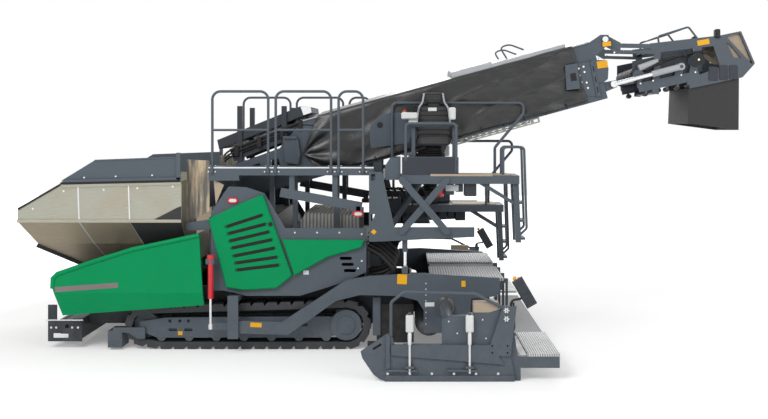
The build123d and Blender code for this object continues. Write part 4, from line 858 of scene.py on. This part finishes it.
PAD_PARTS = (
    ("cushion", (0.25, 0.70), (-1.33, -0.89), (2.745, 2.865), 4, 1),
    ("back", (0.25, 0.70), (-0.91, -0.80), (2.82, 3.29), 7, 2),
    ("head_rest", (0.335, 0.615), (-0.90, -0.80), (3.335, 3.485), 4, 2),
)
SIDES = (("left", "platform_l", 1, 0.0), ("right", "platform_r", -1, -0.55))


def sided(x, y, z, sign, drop):
    """Ranges of the left side carried to the side of that sign, lowered by the drop."""
    return x, (sign * y[0], sign * y[1]), (z[0] + drop, z[1] + drop)


for side, body, sign, drop in SIDES:
    for name, x, y, z, channels, along in PAD_PARTS:
        rows = pad(*sided(x, y, z, sign, drop), channels, along)
        piece = Shape().grid(rows, wrap_columns=True, caps=True)
        piece.make(f"seat_{name}_{side}", SEAT_CLOTH, body, "seat_cloth", smooth=70)
    base = Shape()
    fold = np.linspace(0, 1, 27)
    bellows = np.stack([0.115 + 0.014 * np.cos(fold * 2 * pi * 6), 2.55 + drop + fold * 0.20], 1)
    turned(base, bellows, (0.48, sign * -1.08, 0), (0, 0, 1), sides=24)
    boxed(base, (0.40, 0.56), (sign * -0.86, sign * -0.825), (3.27 + drop, 3.36 + drop), 0.01)
    boxed(base, (0.36, 0.60), (sign * -1.20, sign * -0.95), (2.35 + drop, 2.56 + drop), 0.01)
    stand = base.make(f"seat_bellows_{side}", RUBBER, body, "seat_cloth", smooth=50)
    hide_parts(f"seat_{side}")
    desk = Shape()
    boxed(desk, (0.03, 0.255), (sign * -1.10, sign * -0.84), (3.11 + drop, 3.20 + drop), 0.015)
    boxed(desk, (0.13, 0.255), (sign * -1.04, sign * -0.90), (3.05 + drop, 3.11 + drop), 0.01)
    boxed(desk, (0.685, 0.775), (sign * -1.10, sign * -0.84), (3.10 + drop, 3.27 + drop), 0.015)
    boxed(desk, (0.40, 0.52), (sign * -0.925, sign * -0.905), (3.22 + drop, 3.27 + drop), 0.004)
    desk.make(f"seat_consoles_{side}", WHITE, body, "light_paint", smooth=40)
    stop = turned(Shape(), knob(0.032, 0.012), (0.075, sign * -1.0, 3.20 + drop), (0, 0, 1))
    stop.make(f"stop_collar_{side}", YELLOW, body, "light_paint", smooth=40)
    button = turned(Shape(), knob(0.022, 0.03, 0.4), (0.075, sign * -1.0, 3.21 + drop), (0, 0, 1))
    button.make(f"stop_button_{side}", RED, body, "red_paint", smooth=40)
    levers = Shape()
    for x in (0.19, 0.225):
        tubed(levers, [(x, sign * -0.98, 3.18 + drop), (x + 0.01, sign * -0.99, 3.28 + drop)], 0.008)
        turned(levers, knob(0.016, 0.035, 0.5), (x + 0.01, sign * -0.99, 3.27 + drop), (0, 0, 1), sides=14)
    tubed(levers, [(0.13, sign * -1.29, 2.73 + drop), (0.20, sign * -1.25, 2.95 + drop)], 0.018)
    levers.make(f"seat_levers_{side}", BLACK, body, "dark_paint", smooth=40)
    frame_bar = Shape()
    for x in (0.165, 0.72):
        boxed(frame_bar, (x, x + 0.055), (sign * -1.30, sign * -1.22), (2.56 + drop, 3.02 + drop), 0.008)
    boxed(frame_bar, (0.15, 0.80), (sign * -1.345, sign * -1.30), (3.00 + drop, 3.035 + drop), 0.01)
    boxed(frame_bar, (0.13, 0.80), (sign * -1.372, sign * -1.20), (2.36 + drop, 2.60 + drop), 0.012)
    frame_bar.make(f"seat_cradle_{side}", SLATE, body, "grey_paint")
print("seats made")

# %% [markdown]
# Warning and type plates stay blank.

# %% Blank plates
PLATE_TABLE = (
    (
        "tow_arm_plates", "screed", -1.45,
        ((0.043, 0.975, 0.13, 0.13, -3), (0.86, 0.915, 0.055, 0.08, 0), (-1.90, 0.367, 0.15, 0.06, -2)),
    ),
    ("gantry_plates", "tractor", -1.40, ((-0.335, 1.60, 0.055, 0.055, 45),)),
    ("cheek_plates", "tractor", -1.24, ((-2.955, 0.215, 0.06, 0.05, 0),)),
    ("head_plates", "head", -0.57, ((4.315, 4.205, 0.17, 0.075, 10),)),
    ("boom_end_plates", "boom", -0.64, ((2.93, 4.175, 0.12, 0.065, 8),)),
    ("side_plates", "boom", -0.658, ((2.865, 3.885, 0.15, 0.10, 8),)),
)
for name, body, y, spots in PLATE_TABLE:
    pair(plates(spots, y), name, YELLOW, body, "light_paint")
labels = plates(((0.41, 0.64, 0.125, 0.055, 0),), -1.45)
pair(labels, "screed_labels", WHITE, "screed", "light_paint")
print("blank plates of", len(PLATE_TABLE), "faces made")

# %% [markdown]
# Deck and engine side. Every railing post stands on a bolted foot, a bright strip edges the deck and
# two red-rimmed lamps look sideways. Black sheets behind the engine door's slots are painted shade for
# the dark inside the slots, and the door has a lock.

# %% Deck and engine trim
RAIL_POSTS = (-2.514, -1.761, -1.660, -0.914, -0.813, -0.483)
DECK_Z, DECK_Y, POST_Y = 2.46, -1.31, -1.28
feet, foot_bolts = Shape(), Shape()
for x in RAIL_POSTS:
    boxed(feet, (x - 0.045, x + 0.045), (POST_Y - 0.028, POST_Y + 0.05), (DECK_Z, DECK_Z + 0.012), 0.002)
    bolts_up(foot_bolts, ((x - 0.032, POST_Y + 0.034), (x + 0.032, POST_Y + 0.034)), DECK_Z + 0.012)
pair(feet, "post_feet", SLATE, "tractor", "grey_paint")
pair(foot_bolts, "post_bolts", ALU, "tractor", "ridged_alu")
edging = boxed(
    Shape(), (-2.56, -0.34), (DECK_Y - 0.003, DECK_Y + 0.001), (DECK_Z - 0.016, DECK_Z + 0.002), 0.0005,
)
sleeves = Shape()
for x in RAIL_POSTS:
    boxed(
        sleeves, (x - 0.019, x + 0.019), (DECK_Y - 0.030, DECK_Y + 0.001), (DECK_Z - 0.085, DECK_Z + 0.012),
        0.006,
    )
    bolted(edging, ((x - 0.045, DECK_Z - 0.06), (x + 0.045, DECK_Z - 0.06)), DECK_Y, 0.011, 0.008)
pair(sleeves, "post_sleeves", SLATE, "tractor", "grey_paint")
pair(edging, "deck_edging", ALU, "tractor", "ridged_alu")

LAMP_SPOTS = ((-2.233, 2.012, -1.30), (-0.55, 1.83, -1.27))
rims, lenses = Shape(), Shape()
for x, z, y in LAMP_SPOTS:
    plated(rims, rounded(x - 0.072, x + 0.072, z - 0.040, z + 0.040, 0.039), (y - 0.022, y + 0.001), 0.004)
    plated(
        lenses, rounded(x - 0.050, x + 0.050, z - 0.022, z + 0.022, 0.0215), (y - 0.027, y - 0.021), 0.003,
    )
pair(rims, "side_lamp_rims", RED, "tractor", "red_paint", smooth=40)
pair(lenses, "side_lamp_lenses", WHITE, "tractor", "light_paint", smooth=40)
bracket = boxed(Shape(), (-0.58, -0.52), (-1.27, -1.262), (1.80, 1.93), 0.001)
pair(bracket, "lamp_brackets", SLATE, "tractor", "grey_paint")

DOOR_SLOTS = (
    (-2.330, -1.815, 1.664, 1.818),
    (-2.305, -1.770, 1.571, 1.698),
    (-2.285, -1.722, 1.472, 1.596),
    (-2.258, -1.684, 1.378, 1.490),
    (-2.231, -1.649, 1.272, 1.378),
    (-2.205, -1.614, 1.178, 1.258),
    (-2.191, -1.592, 1.085, 1.151),
)
# Painted shade: black sheets just behind the door's slots stand for the dark inside them.
slot_shade = Shape()
for x0, x1, z0, z1 in DOOR_SLOTS:
    plated(slot_shade, strip((x0 + 0.02, z0), (x1 - 0.02, z1), 0.046), (-1.3415, -1.3395), 0.0005)
pair(slot_shade, "door_slot_shade", BLACK, "door_l", "dark_paint", other="door_r")
lock = turned(Shape(), knob(0.03, 0.012), (-1.72, -1.365, 1.70), (0, -1, 0))
boxed(lock, (-1.745, -1.695), (-1.381, -1.375), (1.694, 1.706), 0.001)
pair(lock, "door_locks", BLACK, "door_l", "dark_paint", smooth=40, other="door_r")
label = plates(((-1.25, 1.043, 0.075, 0.055, 0),), -1.30)
pair(label, "panel_labels", WHITE, "tractor", "light_paint")
panel_bolts = bolted(
    Shape(), ((-0.50, 1.56), (-0.80, 1.58), (-1.10, 1.58), (-1.40, 1.58), (-0.50, 1.20), (-0.55, 1.10)),
    -1.30,
)
pair(panel_bolts, "panel_bolts", ALU, "tractor", "ridged_alu")
print("deck and engine trim made")

# %% [markdown]
# Hopper. The steel insert is plated from sheets, so it has raised seams and a row of bolts. Black
# rubber seals its lower front edge and its rear corner. The wing wears a grey stripe.

# %% Hopper trim
STRIPE = paint("stripe_grey", (0.22, 0.175, 0.175), rough=0.4, dust=0.05, wear=0.0)
INSERT_LEVELS = (1.05, 1.42, 1.745, 2.29)
INSERT_HALVES = (0.69, 1.18, 1.50, 1.50)


def on_insert(z):
    """Half width of the insert at a height."""
    return np.interp(z, INSERT_LEVELS, INSERT_HALVES)


def seam(shape, x_top, z_top, x_low, z_low, width=0.016, rise=0.003):
    """Strip up the insert's side: a flat section carried down the wall, bent where the wall bends."""
    z = np.unique(
        np.concatenate([np.linspace(z_low, z_top, 8), [v for v in INSERT_LEVELS if z_low < v < z_top]])
    )
    x = x_low + (x_top - x_low) * (z - z_low) / (z_top - z_low)
    y = -on_insert(z)
    rows = [
        np.stack([x + dx, y - dy, z], 1)
        for dx, dy in ((-width / 2, -0.002), (-width / 2, rise), (width / 2, rise), (width / 2, -0.002))
    ]
    return shape.grid(np.stack(rows, 1), wrap_columns=True, caps=True)


seams = Shape()
INSERT_SEAMS = (
    (-4.252, 2.255, -4.235, 1.76), (-3.583, 2.27, -3.566, 1.76), (-4.233, 1.73, -4.06, 1.20),
    (-3.556, 1.73, -3.44, 1.30),
)
for row in INSERT_SEAMS:
    seam(seams, *row)
pair(seams, "insert_seams", ALU, "tractor", "stainless")
insert_bolts = bolted(
    Shape(), ((-4.847, 1.916), (-4.438, 2.15), (-3.909, 2.17), (-3.462, 2.19), (-2.993, 2.21)), -1.50,
    0.016, 0.008,
)
bolted(insert_bolts, ((-4.168, 2.33), (-3.267, 2.36), (-3.75, 2.345)), -1.50, 0.013, 0.008)
pair(insert_bolts, "insert_bolts", ALU, "tractor", "ridged_alu")
edges = plated(Shape(), strip((-5.04, 1.912), (-4.47, 2.245), 0.024), (-1.518, -1.494), 0.003)
plated(edges, strip((-4.475, 2.252), (-2.885, 2.286), 0.03), (-1.534, -1.524), 0.002)
pair(edges, "insert_edges", BLACK, "tractor", "dark_paint")
flange = plated(
    Shape(), [(-4.46, 2.266), (-2.885, 2.300), (-2.885, 2.335), (-4.42, 2.30)], (-1.530, -1.498), 0.002,
)
plated(flange, strip((-4.03, 2.556), (-2.90, 2.598), 0.02), (-1.508, -1.494), 0.002)
boxed(flange, (-2.945, -2.89), (-1.53, -1.495), (2.30, 2.66), 0.004)
plated(flange, [(-2.878, 1.711), (-2.56, 1.755), (-2.52, 1.62), (-2.878, 1.603)], (-1.30, -1.271), 0.004)
pair(flange, "board_flanges", SLATE, "tractor", "grey_paint")

front_normal = np.array([-0.37, 0.0, -0.57]) / np.hypot(0.37, 0.57) * 0.055
top_edge, low_edge = np.array([-4.90, 1.18, 1.42]), np.array([-4.33, 0.69, 1.05])
ring = np.stack([top_edge, low_edge, low_edge + front_normal, top_edge + front_normal])
lip = Shape().grid(np.stack([ring * (1, -1, 1), ring]), wrap_columns=True, caps=True)
lip.make("hopper_front_lip", RUBBER, "tractor", "belt_rubber")


def rear_flap(columns=14, rows=16):
    """Rubber over the insert's rear corner: a grid between a slanting left edge and the rear wall."""
    u, v = np.meshgrid(np.linspace(0, 1, columns), np.linspace(0, 1, rows))
    left = -3.56 + 0.16 * v
    x = left + (-2.885 - left) * u
    top = np.interp(x, (-3.56, -3.25, -2.90), (1.745, 1.77, 1.95))
    z = top * (1 - v) + 1.22 * v
    return np.stack([x, -on_insert(z) - 0.006, z], -1)


flap = Shape().grid(rear_flap())
for piece in pair(flap, "hopper_rear_flap", RUBBER, "tractor", "belt_rubber"):
    body = piece.modifiers.new("thickness", "SOLIDIFY")
    body.thickness = 0.006
    body.offset = 0
stripe = plated(
    Shape(), [(-4.548, 0.812), (-3.72, 0.872), (-3.72, 0.937), (-4.562, 0.878)], (-1.502, -1.4995), 0.0005,
)
pair(stripe, "wing_stripe", STRIPE, "tractor", "grey_paint")
throat = plated(Shape(), [(-2.50, 2.29), (-2.36, 2.22), (-2.47, 1.95)], (-1.27, -1.258), 0.002)
pair(throat, "throat_gussets", BEIGE, "tractor", "light_paint")
bumper_bolts = bolted(
    Shape(), ((-4.711, 0.285), (-4.642, 0.285), (-4.426, 0.285), (-4.348, 0.285)), -1.20, 0.017, 0.012,
)
boxed(bumper_bolts, (-4.79, -4.28), (-1.203, -1.199), (0.375, 0.392), 0.0008)
pair(bumper_bolts, "bumper_bolts", ALU, "tractor", "ridged_alu")
tow_cover = boxed(Shape(), (-2.533, -2.276), (-1.471, -1.454), (0.308, 0.392), 0.002)
bolted(tow_cover, ((-2.42, 0.35), (-2.34, 0.35)), -1.471, 0.014, 0.010)
pair(tow_cover, "tow_block_covers", SLATE, "tow_points", "grey_paint")
marks = Shape()
for x, z in ((-3.135, 1.443), (-3.94, 1.224)):
    plated(marks, strip((x - 0.045, z - 0.008), (x + 0.045, z + 0.008), 0.022), (-1.5015, -1.4995), 0.0005)
boxed(marks, (-2.727, -2.634), (-1.4995, -1.49), (0.805, 0.828), 0.001)
pair(marks, "wing_marks", BLACK, "tractor", "dark_paint")
print("hopper trim made")

# %% [markdown]
# Screed. Each end gate hangs on two spring boxes with threaded rods and cross handles, and carries
# a control box on a bent arm. Star knobs clamp its post.

# %% Screed trim
GATE_FACE = -2.945
spring_boxes, adjusters, gate_bolts, rods = Shape(), Shape(), Shape(), Shape()
for x in (0.138, 0.843):
    boxed(
        spring_boxes, (x - 0.046, x + 0.046), (GATE_FACE - 0.065, GATE_FACE + 0.012), (0.585, 0.785), 0.012,
    )
    turned(rods, [(0.016, 0.10), (0.016, 0.60)], (x, GATE_FACE - 0.03, 0), (0, 0, 1))
    turned(rods, [(0.026, 0.44), (0.026, 0.56), (0.02, 0.585)], (x, GATE_FACE - 0.03, 0), (0, 0, 1))
    boxed(adjusters, (x - 0.05, x + 0.05), (GATE_FACE - 0.06, GATE_FACE + 0.002), (0.155, 0.185), 0.006)
    boxed(adjusters, (x - 0.27, x + 0.09), (GATE_FACE - 0.045, GATE_FACE + 0.002), (0.118, 0.142), 0.005)
    turned(adjusters, knob(0.02, 0.03), (x, GATE_FACE - 0.03, 0.785), (0, 0, 1))
pair(rods, "gate_rods", ALU, "extension_l", "ridged_alu", smooth=40, other="extension_r")
pair(spring_boxes, "gate_spring_boxes", WHITE, "extension_l", "light_paint", smooth=30, other="extension_r")
pair(adjusters, "gate_adjusters", SLATE, "extension_l", "grey_paint", smooth=40, other="extension_r")
bolted(gate_bolts, [(x, 0.09) for x in np.linspace(-0.12, 1.18, 6)], GATE_FACE, 0.018, 0.01)
for z in (0.84, 0.74):
    for turn in np.radians((0, 60, 120)):
        way = np.array([np.cos(turn), np.sin(turn)]) * 0.034
        plated(
            gate_bolts, strip((1.275 - way[0], z - way[1]), (1.275 + way[0], z + way[1]), 0.016),
            (-2.992, -2.968), 0.003,
        )
pair(gate_bolts, "gate_bolts", ALU, "extension_l", "ridged_alu", other="extension_r")

pendant = plated(Shape(), strip((1.405, 1.195), (1.585, 0.885), 0.135), (-2.95, -2.87), 0.014)
plated(pendant, strip((1.45, 1.12), (1.50, 1.035), 0.10), (-2.958, -2.945), 0.004)
plated(pendant, strip((1.515, 1.005), (1.565, 0.92), 0.10), (-2.958, -2.945), 0.004)
pair(pendant, "control_boxes", DARK, "extension_l", "dark_paint", other="extension_r")
arm = tubed(
    Shape(), [(1.33, -2.93, 0.84), (1.335, -2.93, 0.95), (1.45, -2.91, 0.965), (1.50, -2.91, 1.00)], 0.014,
)
tubed(arm, [(1.36, -2.955, 0.93), (1.372, -2.955, 0.62), (1.33, -2.955, 0.57)], 0.013)
pair(arm, "control_arms", BLACK, "extension_l", "dark_paint", smooth=40, other="extension_r")
PENDANT_KNOBS = (("amber", 1.372, 1.185, YELLOW, "light_paint"), ("red", 1.425, 1.175, RED, "red_paint"))
for name, x, z, finish, slot in PENDANT_KNOBS:
    dome = turned(Shape(), knob(0.02, 0.045, 0.4), (x, -2.91, z), (0.25, 0, 0.97), sides=16)
    pair(dome, f"control_{name}_knob", finish, "extension_l", slot, smooth=50, other="extension_r")
crate = boxed(Shape(), (0.888, 1.192), (-2.917, -2.783), (0.80, 0.928), 0.006)
pair(crate, "burner_boxes", BEIGE, "extension_l", "light_paint", other="extension_r")
sill = boxed(Shape(), (0.06, 0.70), (-2.916, -2.896), (0.345, 0.435), 0.004)
pair(sill, "gate_sills", SLATE, "extension_l", "grey_paint", other="extension_r")
# Painted shade: black sheets just behind the gate's slots stand for the dark inside them.
backs = boxed(Shape(), (-0.36, -0.15), (-2.9195, -2.9165), (0.34, 0.47), 0.001)
boxed(backs, (0.44, 0.54), (-2.918, -2.915), (0.385, 0.41), 0.001)
pair(backs, "gate_slot_shade", BLACK, "extension_l", "dark_paint", other="extension_r")
guard_bolts = bolted(Shape(), ((0.60, 0.70), (0.70, 0.56), (1.00, 0.72), (1.04, 0.50)), -2.92, 0.011, 0.008)
pair(guard_bolts, "guard_bolts", ALU, "extension_l", "ridged_alu", other="extension_r")
collar_rim = [(0.101, 0), (0.125, 0), (0.125, 0.03), (0.101, 0.03)]
collar = turned(Shape(), collar_rim, (0.612, -1.45, 0.615), (0, -1, 0), sides=32, hollow=True)
pair(collar, "tube_collars", SCORCHED, "screed", "stainless", smooth=40)
arm_bolts = bolted(Shape(), [(0.36, z) for z in np.linspace(0.38, 0.92, 8)], -1.45, 0.011, 0.008)
pair(arm_bolts, "arm_bolts", ALU, "screed", "ridged_alu")
# Painted shade: a black sheet across the auger tunnel's mouth stands for the dark inside the tunnel.
tunnel = boxed(Shape(), (-0.30, 0.20), (-1.30, -1.285), (0.10, 0.62), 0.003)
pair(tunnel, "auger_tunnel_shade", BLACK, "tractor", "dark_paint")
fender = boxed(Shape(), (-0.352, -0.244), (-1.33, -1.30), (0.20, 0.72), 0.01)
pair(fender, "rear_fenders", SLATE, "tractor", "grey_paint")
print("screed trim made")

# %% [markdown]
# Discharge head. A bolted plate closes the boom's end, beside a leaning slotted bar. The head itself
# carries a pale inner sheet behind its window, a panelled box over the curtain, a work lamp, small
# rollers under its lower beam, and an oil pipe clamped along its upper one.

# %% Head trim
BOOM_FACE, HEAD_FACE = -0.64, -0.57
end_plate = plated(
    Shape(), [(2.43, 3.88), (2.70, 3.93), (2.80, 3.43), (2.54, 3.45)],
    (BOOM_FACE - 0.012, BOOM_FACE + 0.004), 0.003,
)
END_BOLTS = (
    (2.527, 3.825), (2.541, 3.731), (2.568, 3.632), (2.585, 3.530), (2.598, 3.852), (2.612, 3.777),
    (2.642, 3.629), (2.66, 3.553),
)
pair(end_plate, "boom_end_cover", SLATE, "boom", "grey_paint")
pair(bolted(Shape(), END_BOLTS, BOOM_FACE - 0.012, 0.017), "boom_end_bolts", ALU, "boom", "ridged_alu")
leaning = plated(Shape(), strip((2.718, 3.92), (2.815, 3.43), 0.062), (BOOM_FACE - 0.030, BOOM_FACE), 0.004)
plated(
    leaning, [(2.70, 3.95), (2.916, 3.945), (2.953, 3.83), (2.944, 3.68), (2.888, 3.633), (2.76, 3.62)],
    (-0.658, -0.641), 0.003,
)
plated(leaning, [(2.33, 3.87), (2.50, 3.90), (2.54, 3.54), (2.35, 3.52)], (-0.712, -0.70), 0.003)
boxed(leaning, (2.46, 2.50), (-0.70, -0.64), (3.60, 3.66), 0.004)
pair(leaning, "leaning_bars", SLATE, "boom", "grey_paint")
# Painted shade: black strips on the leaning bar's face, and a black patch on the plate beside it, stand for
# the dark inside their slots.
slots = Shape()
for share in (0.2, 0.5, 0.8):
    x, z = 2.718 + 0.097 * share, 3.92 - 0.49 * share
    plated(
        slots, strip((x - 0.008, z + 0.04), (x + 0.008, z - 0.04), 0.018),
        (BOOM_FACE - 0.0315, BOOM_FACE - 0.029), 0.0008,
    )
plated(slots, [(2.40, 3.75), (2.48, 3.765), (2.495, 3.655), (2.415, 3.645)], (-0.7135, -0.711), 0.0008)
pair(slots, "leaning_bar_slots", BLACK, "boom", "dark_paint")
pin_cap = turned(Shape(), knob(0.042, 0.012), (2.909, -0.64, 4.24), (0, -1, 0), sides=28)
pair(pin_cap, "hinge_pin_caps", CHROME, "boom", "rod_chrome", smooth=40)

inner = plated(
    Shape(), [(4.61, 4.28), (4.83, 4.335), (5.0, 3.94), (4.78, 3.97), (4.66, 4.07)], (-0.5295, -0.523),
    0.001,
)
pair(inner, "head_inner_sheets", BEIGE, "head", "light_paint")
trough = plated(
    Shape(), [(3.32, 3.94), (3.75, 4.03), (4.30, 4.12), (4.32, 3.80), (3.45, 3.60), (3.32, 3.64)],
    (-0.515, -0.50), 0.003,
)
pair(trough, "head_trough_sides", DARK, "head", "dark_paint")
ram = turned(Shape(), knob(0.046, 0.30), (3.40, -0.545, 3.837), (0.94, 0, 0.34))
pair(ram, "head_rams", PALE, "head", "light_paint", smooth=40)
panels = Shape()
for x0, x1, z0, z1 in ((4.39, 4.52, 3.66, 3.86), (4.54, 4.66, 3.67, 3.88), (4.68, 4.80, 3.68, 3.88)):
    plated(panels, rounded(x0, x1, z0, z1, 0.02), (HEAD_FACE - 0.012, HEAD_FACE + 0.002), 0.004)
pair(panels, "head_panels", DARK, "head", "dark_paint")
head_lamp = boxed(Shape(), (4.478, 4.552), (-0.60, -0.50), (4.262, 4.392), 0.012)
tubed(head_lamp, [(4.50, -0.55, 4.20), (4.50, -0.55, 4.275)], 0.014, up=(1, 0, 0))
pair(head_lamp, "head_lamps", BLACK, "head", "dark_paint", smooth=30)
oil_pipe = tubed(
    Shape(),
    [
        (3.50, -0.585, 3.80), (3.70, -0.585, 3.925), (4.05, -0.585, 4.035), (4.38, -0.585, 4.075),
        (4.45, -0.585, 3.99),
    ],
    0.020, 0.10,
)
for x, z in ((3.70, 3.922), (4.05, 4.033), (4.32, 4.066)):
    boxed(oil_pipe, (x - 0.025, x + 0.025), (-0.61, HEAD_FACE + 0.002), (z - 0.032, z + 0.032), 0.006)
pair(oil_pipe, "head_oil_pipes", BLACK, "head", "dark_paint", smooth=40)
rollers, roller_arms = Shape(), Shape()
for x in np.linspace(3.50, 4.10, 5):
    z = 3.497 + (x - 3.40) * 0.21 - 0.045
    turned(rollers, knob(0.034, 0.10), (x, -0.46, z), (0, -1, 0), sides=16)
    plated(roller_arms, strip((x, z), (x + 0.01, z + 0.09), 0.03), (-0.572, -0.560), 0.002)
pair(rollers, "head_rollers", RUBBER, "head", "belt_rubber", smooth=40)
pair(roller_arms, "head_roller_arms", SLATE, "head", "grey_paint")
head_bolts = bolted(
    Shape(), ((3.05, 4.06), (3.18, 4.10), (3.42, 3.62), (3.60, 3.66), (4.0, 3.74), (4.2, 3.78)), HEAD_FACE,
    0.014,
)
pair(head_bolts, "head_bolts", ALU, "head", "ridged_alu")
motor_face = turned(Shape(), knob(0.093, 0.010), (4.215, -0.680, 3.95), (0, -1, 0), sides=32)
pair(motor_face, "drum_motor_faces", BLACK, "head", "dark_paint", smooth=40)
motor_hub = turned(Shape(), knob(0.016, 0.008), (4.215, -0.690, 3.95), (0, -1, 0), sides=12)
pair(motor_hub, "drum_motor_hubs", ALU, "head", "ridged_alu", smooth=40)
print("head trim made")

# %% [markdown]
# Between the platforms a valve block sits on the gantry's beam, with its pipes led down the frame.
# An extinguisher and control boxes hang under the left platform's floor.

# %% Gantry and platform trim
shelf = boxed(Shape(), (-0.40, 0.44), (-0.44, 0.44), (1.62, 1.635), 0.003)
VALVE_BOXES = (
    (-0.26, 0.02, -0.42, -0.05, 1.98), (0.04, 0.42, -0.40, 0.05, 1.88), (-0.22, 0.10, 0.02, 0.42, 2.06),
    (0.14, 0.42, 0.10, 0.40, 1.95),
)
for x0, x1, y0, y1, z1 in VALVE_BOXES:
    boxed(shelf, (x0, x1), (y0, y1), (1.63, z1), 0.012)
shelf.make("valve_block", DARK, "tractor", "dark_paint", smooth=30)
valves = Shape()
for x in np.linspace(-0.20, 0.38, 7):
    turned(valves, knob(0.026, 0.06), (x, -0.42 if x < 0.03 else -0.40, 1.74), (0, -1, 0), sides=14)
    tubed(
        valves, [(x, -0.36, 1.86), (x, -0.36, 2.03), (x - 0.06, -0.30, 2.10), (x - 0.22, -0.24, 2.12)],
        0.014, 0.06, up=(0.2, 1, 0.1),
    )
valves.make("valve_pipes", BLACK, "tractor", "dark_paint", smooth=40)

bottle = turned(
    Shape(), [(0.02, 0), (0.044, 0.012), (0.047, 0.03), (0.047, 0.15), (0.02, 0.175), (0.012, 0.19)],
    (0.555, -1.29, 2.055), (0, 0, 1),
)
for side, body, sign, drop in SIDES:
    hung = bottle if sign > 0 else bottle.mirrored()
    hung.points = [rows + (0, 0, drop) for rows in hung.points]
    hung.make(f"extinguisher_{side}", RED, body, "red_paint", smooth=40)
    boxes = Shape()
    for x0, x1, z0 in ((0.62, 0.74, 2.09), (0.76, 0.86, 2.13), (0.88, 1.04, 2.07)):
        boxed(boxes, *sided((x0, x1), (-1.34, -1.12), (z0, 2.245), sign, drop), 0.008)
    lids = boxed(Shape(), *sided((0.625, 0.80), (-1.346, -1.339), (2.14, 2.225), sign, drop), 0.002)
    lids.make(f"control_lids_{side}", PALE, body, "light_paint")
    front = boxed(Shape(), *sided((0.05, 0.75), (-1.3985, -1.394), (2.36, 2.595), sign, drop), 0.001)
    bolted(
        front, [(x, z + drop) for x in (0.10, 0.40, 0.70) for z in (2.40, 2.56)], sign * -1.3985, 0.010,
        0.006, -sign,
    )
    front.make(f"platform_panel_{side}", DARK, body, "dark_paint")
    bows = Shape()
    for x, lean in ((0.345, -1), (0.605, 1)):
        line = [(x, 3.47), (x + 0.02 * lean, 3.34), (x + 0.075 * lean, 3.27), (x + 0.10 * lean, 3.06)]
        tubed(bows, [(a, sign * -0.915, b + drop) for a, b in line], 0.013)
    bows.make(f"seat_bows_{side}", PALE, body, "light_paint", smooth=40)
    boxes.make(f"control_units_{side}", DARK, body, "dark_paint", smooth=30)
    mats = boxed(Shape(), *sided((0.82, 1.50), (-1.36, -0.80), (2.349, 2.36), sign, drop), 0.003)
    boxed(mats, *sided((0.42, 1.25), (-1.407, -1.398), (2.342, 2.372), sign, drop), 0.002)
    mats.make(f"floor_mats_{side}", BEIGE, body, "light_paint")
looms = Shape()
for k, y in enumerate((-1.22, -1.15, -1.08, -1.0, -0.92)):
    low = 0.86 + 0.05 * k
    tubed(
        looms,
        [
            (-0.42, y, low + 0.50), (-0.26, y, low + 0.42), (-0.06 + 0.02 * k, y, low + 0.20),
            (-0.16, y, low), (-0.42, y, low - 0.04),
        ],
        0.032, 0.12,
    )
pair(looms, "hose_looms", BLACK, "tractor", "dark_paint", smooth=40)
print("gantry and platform trim made")

# %% [markdown]
# Tarpaulin ties: short hooks along the boom's lower edge, one at every swag of the sheet.

# %% Tarpaulin ties
ties = Shape()
for s in np.arange(1.55, 5.2, 0.31):
    x, z = on_boom(s, -0.055)
    turned(ties, knob(0.014, 0.03), (x, -0.648, z), (0, -1, 0), sides=10)
    plated(ties, strip(on_boom(s, -0.055), on_boom(s + 0.01, -0.115), 0.012), (-0.672, -0.660), 0.002)
pair(ties, "tarpaulin_ties", BLACK, "boom", "dark_paint", smooth=40)
print("ties made")
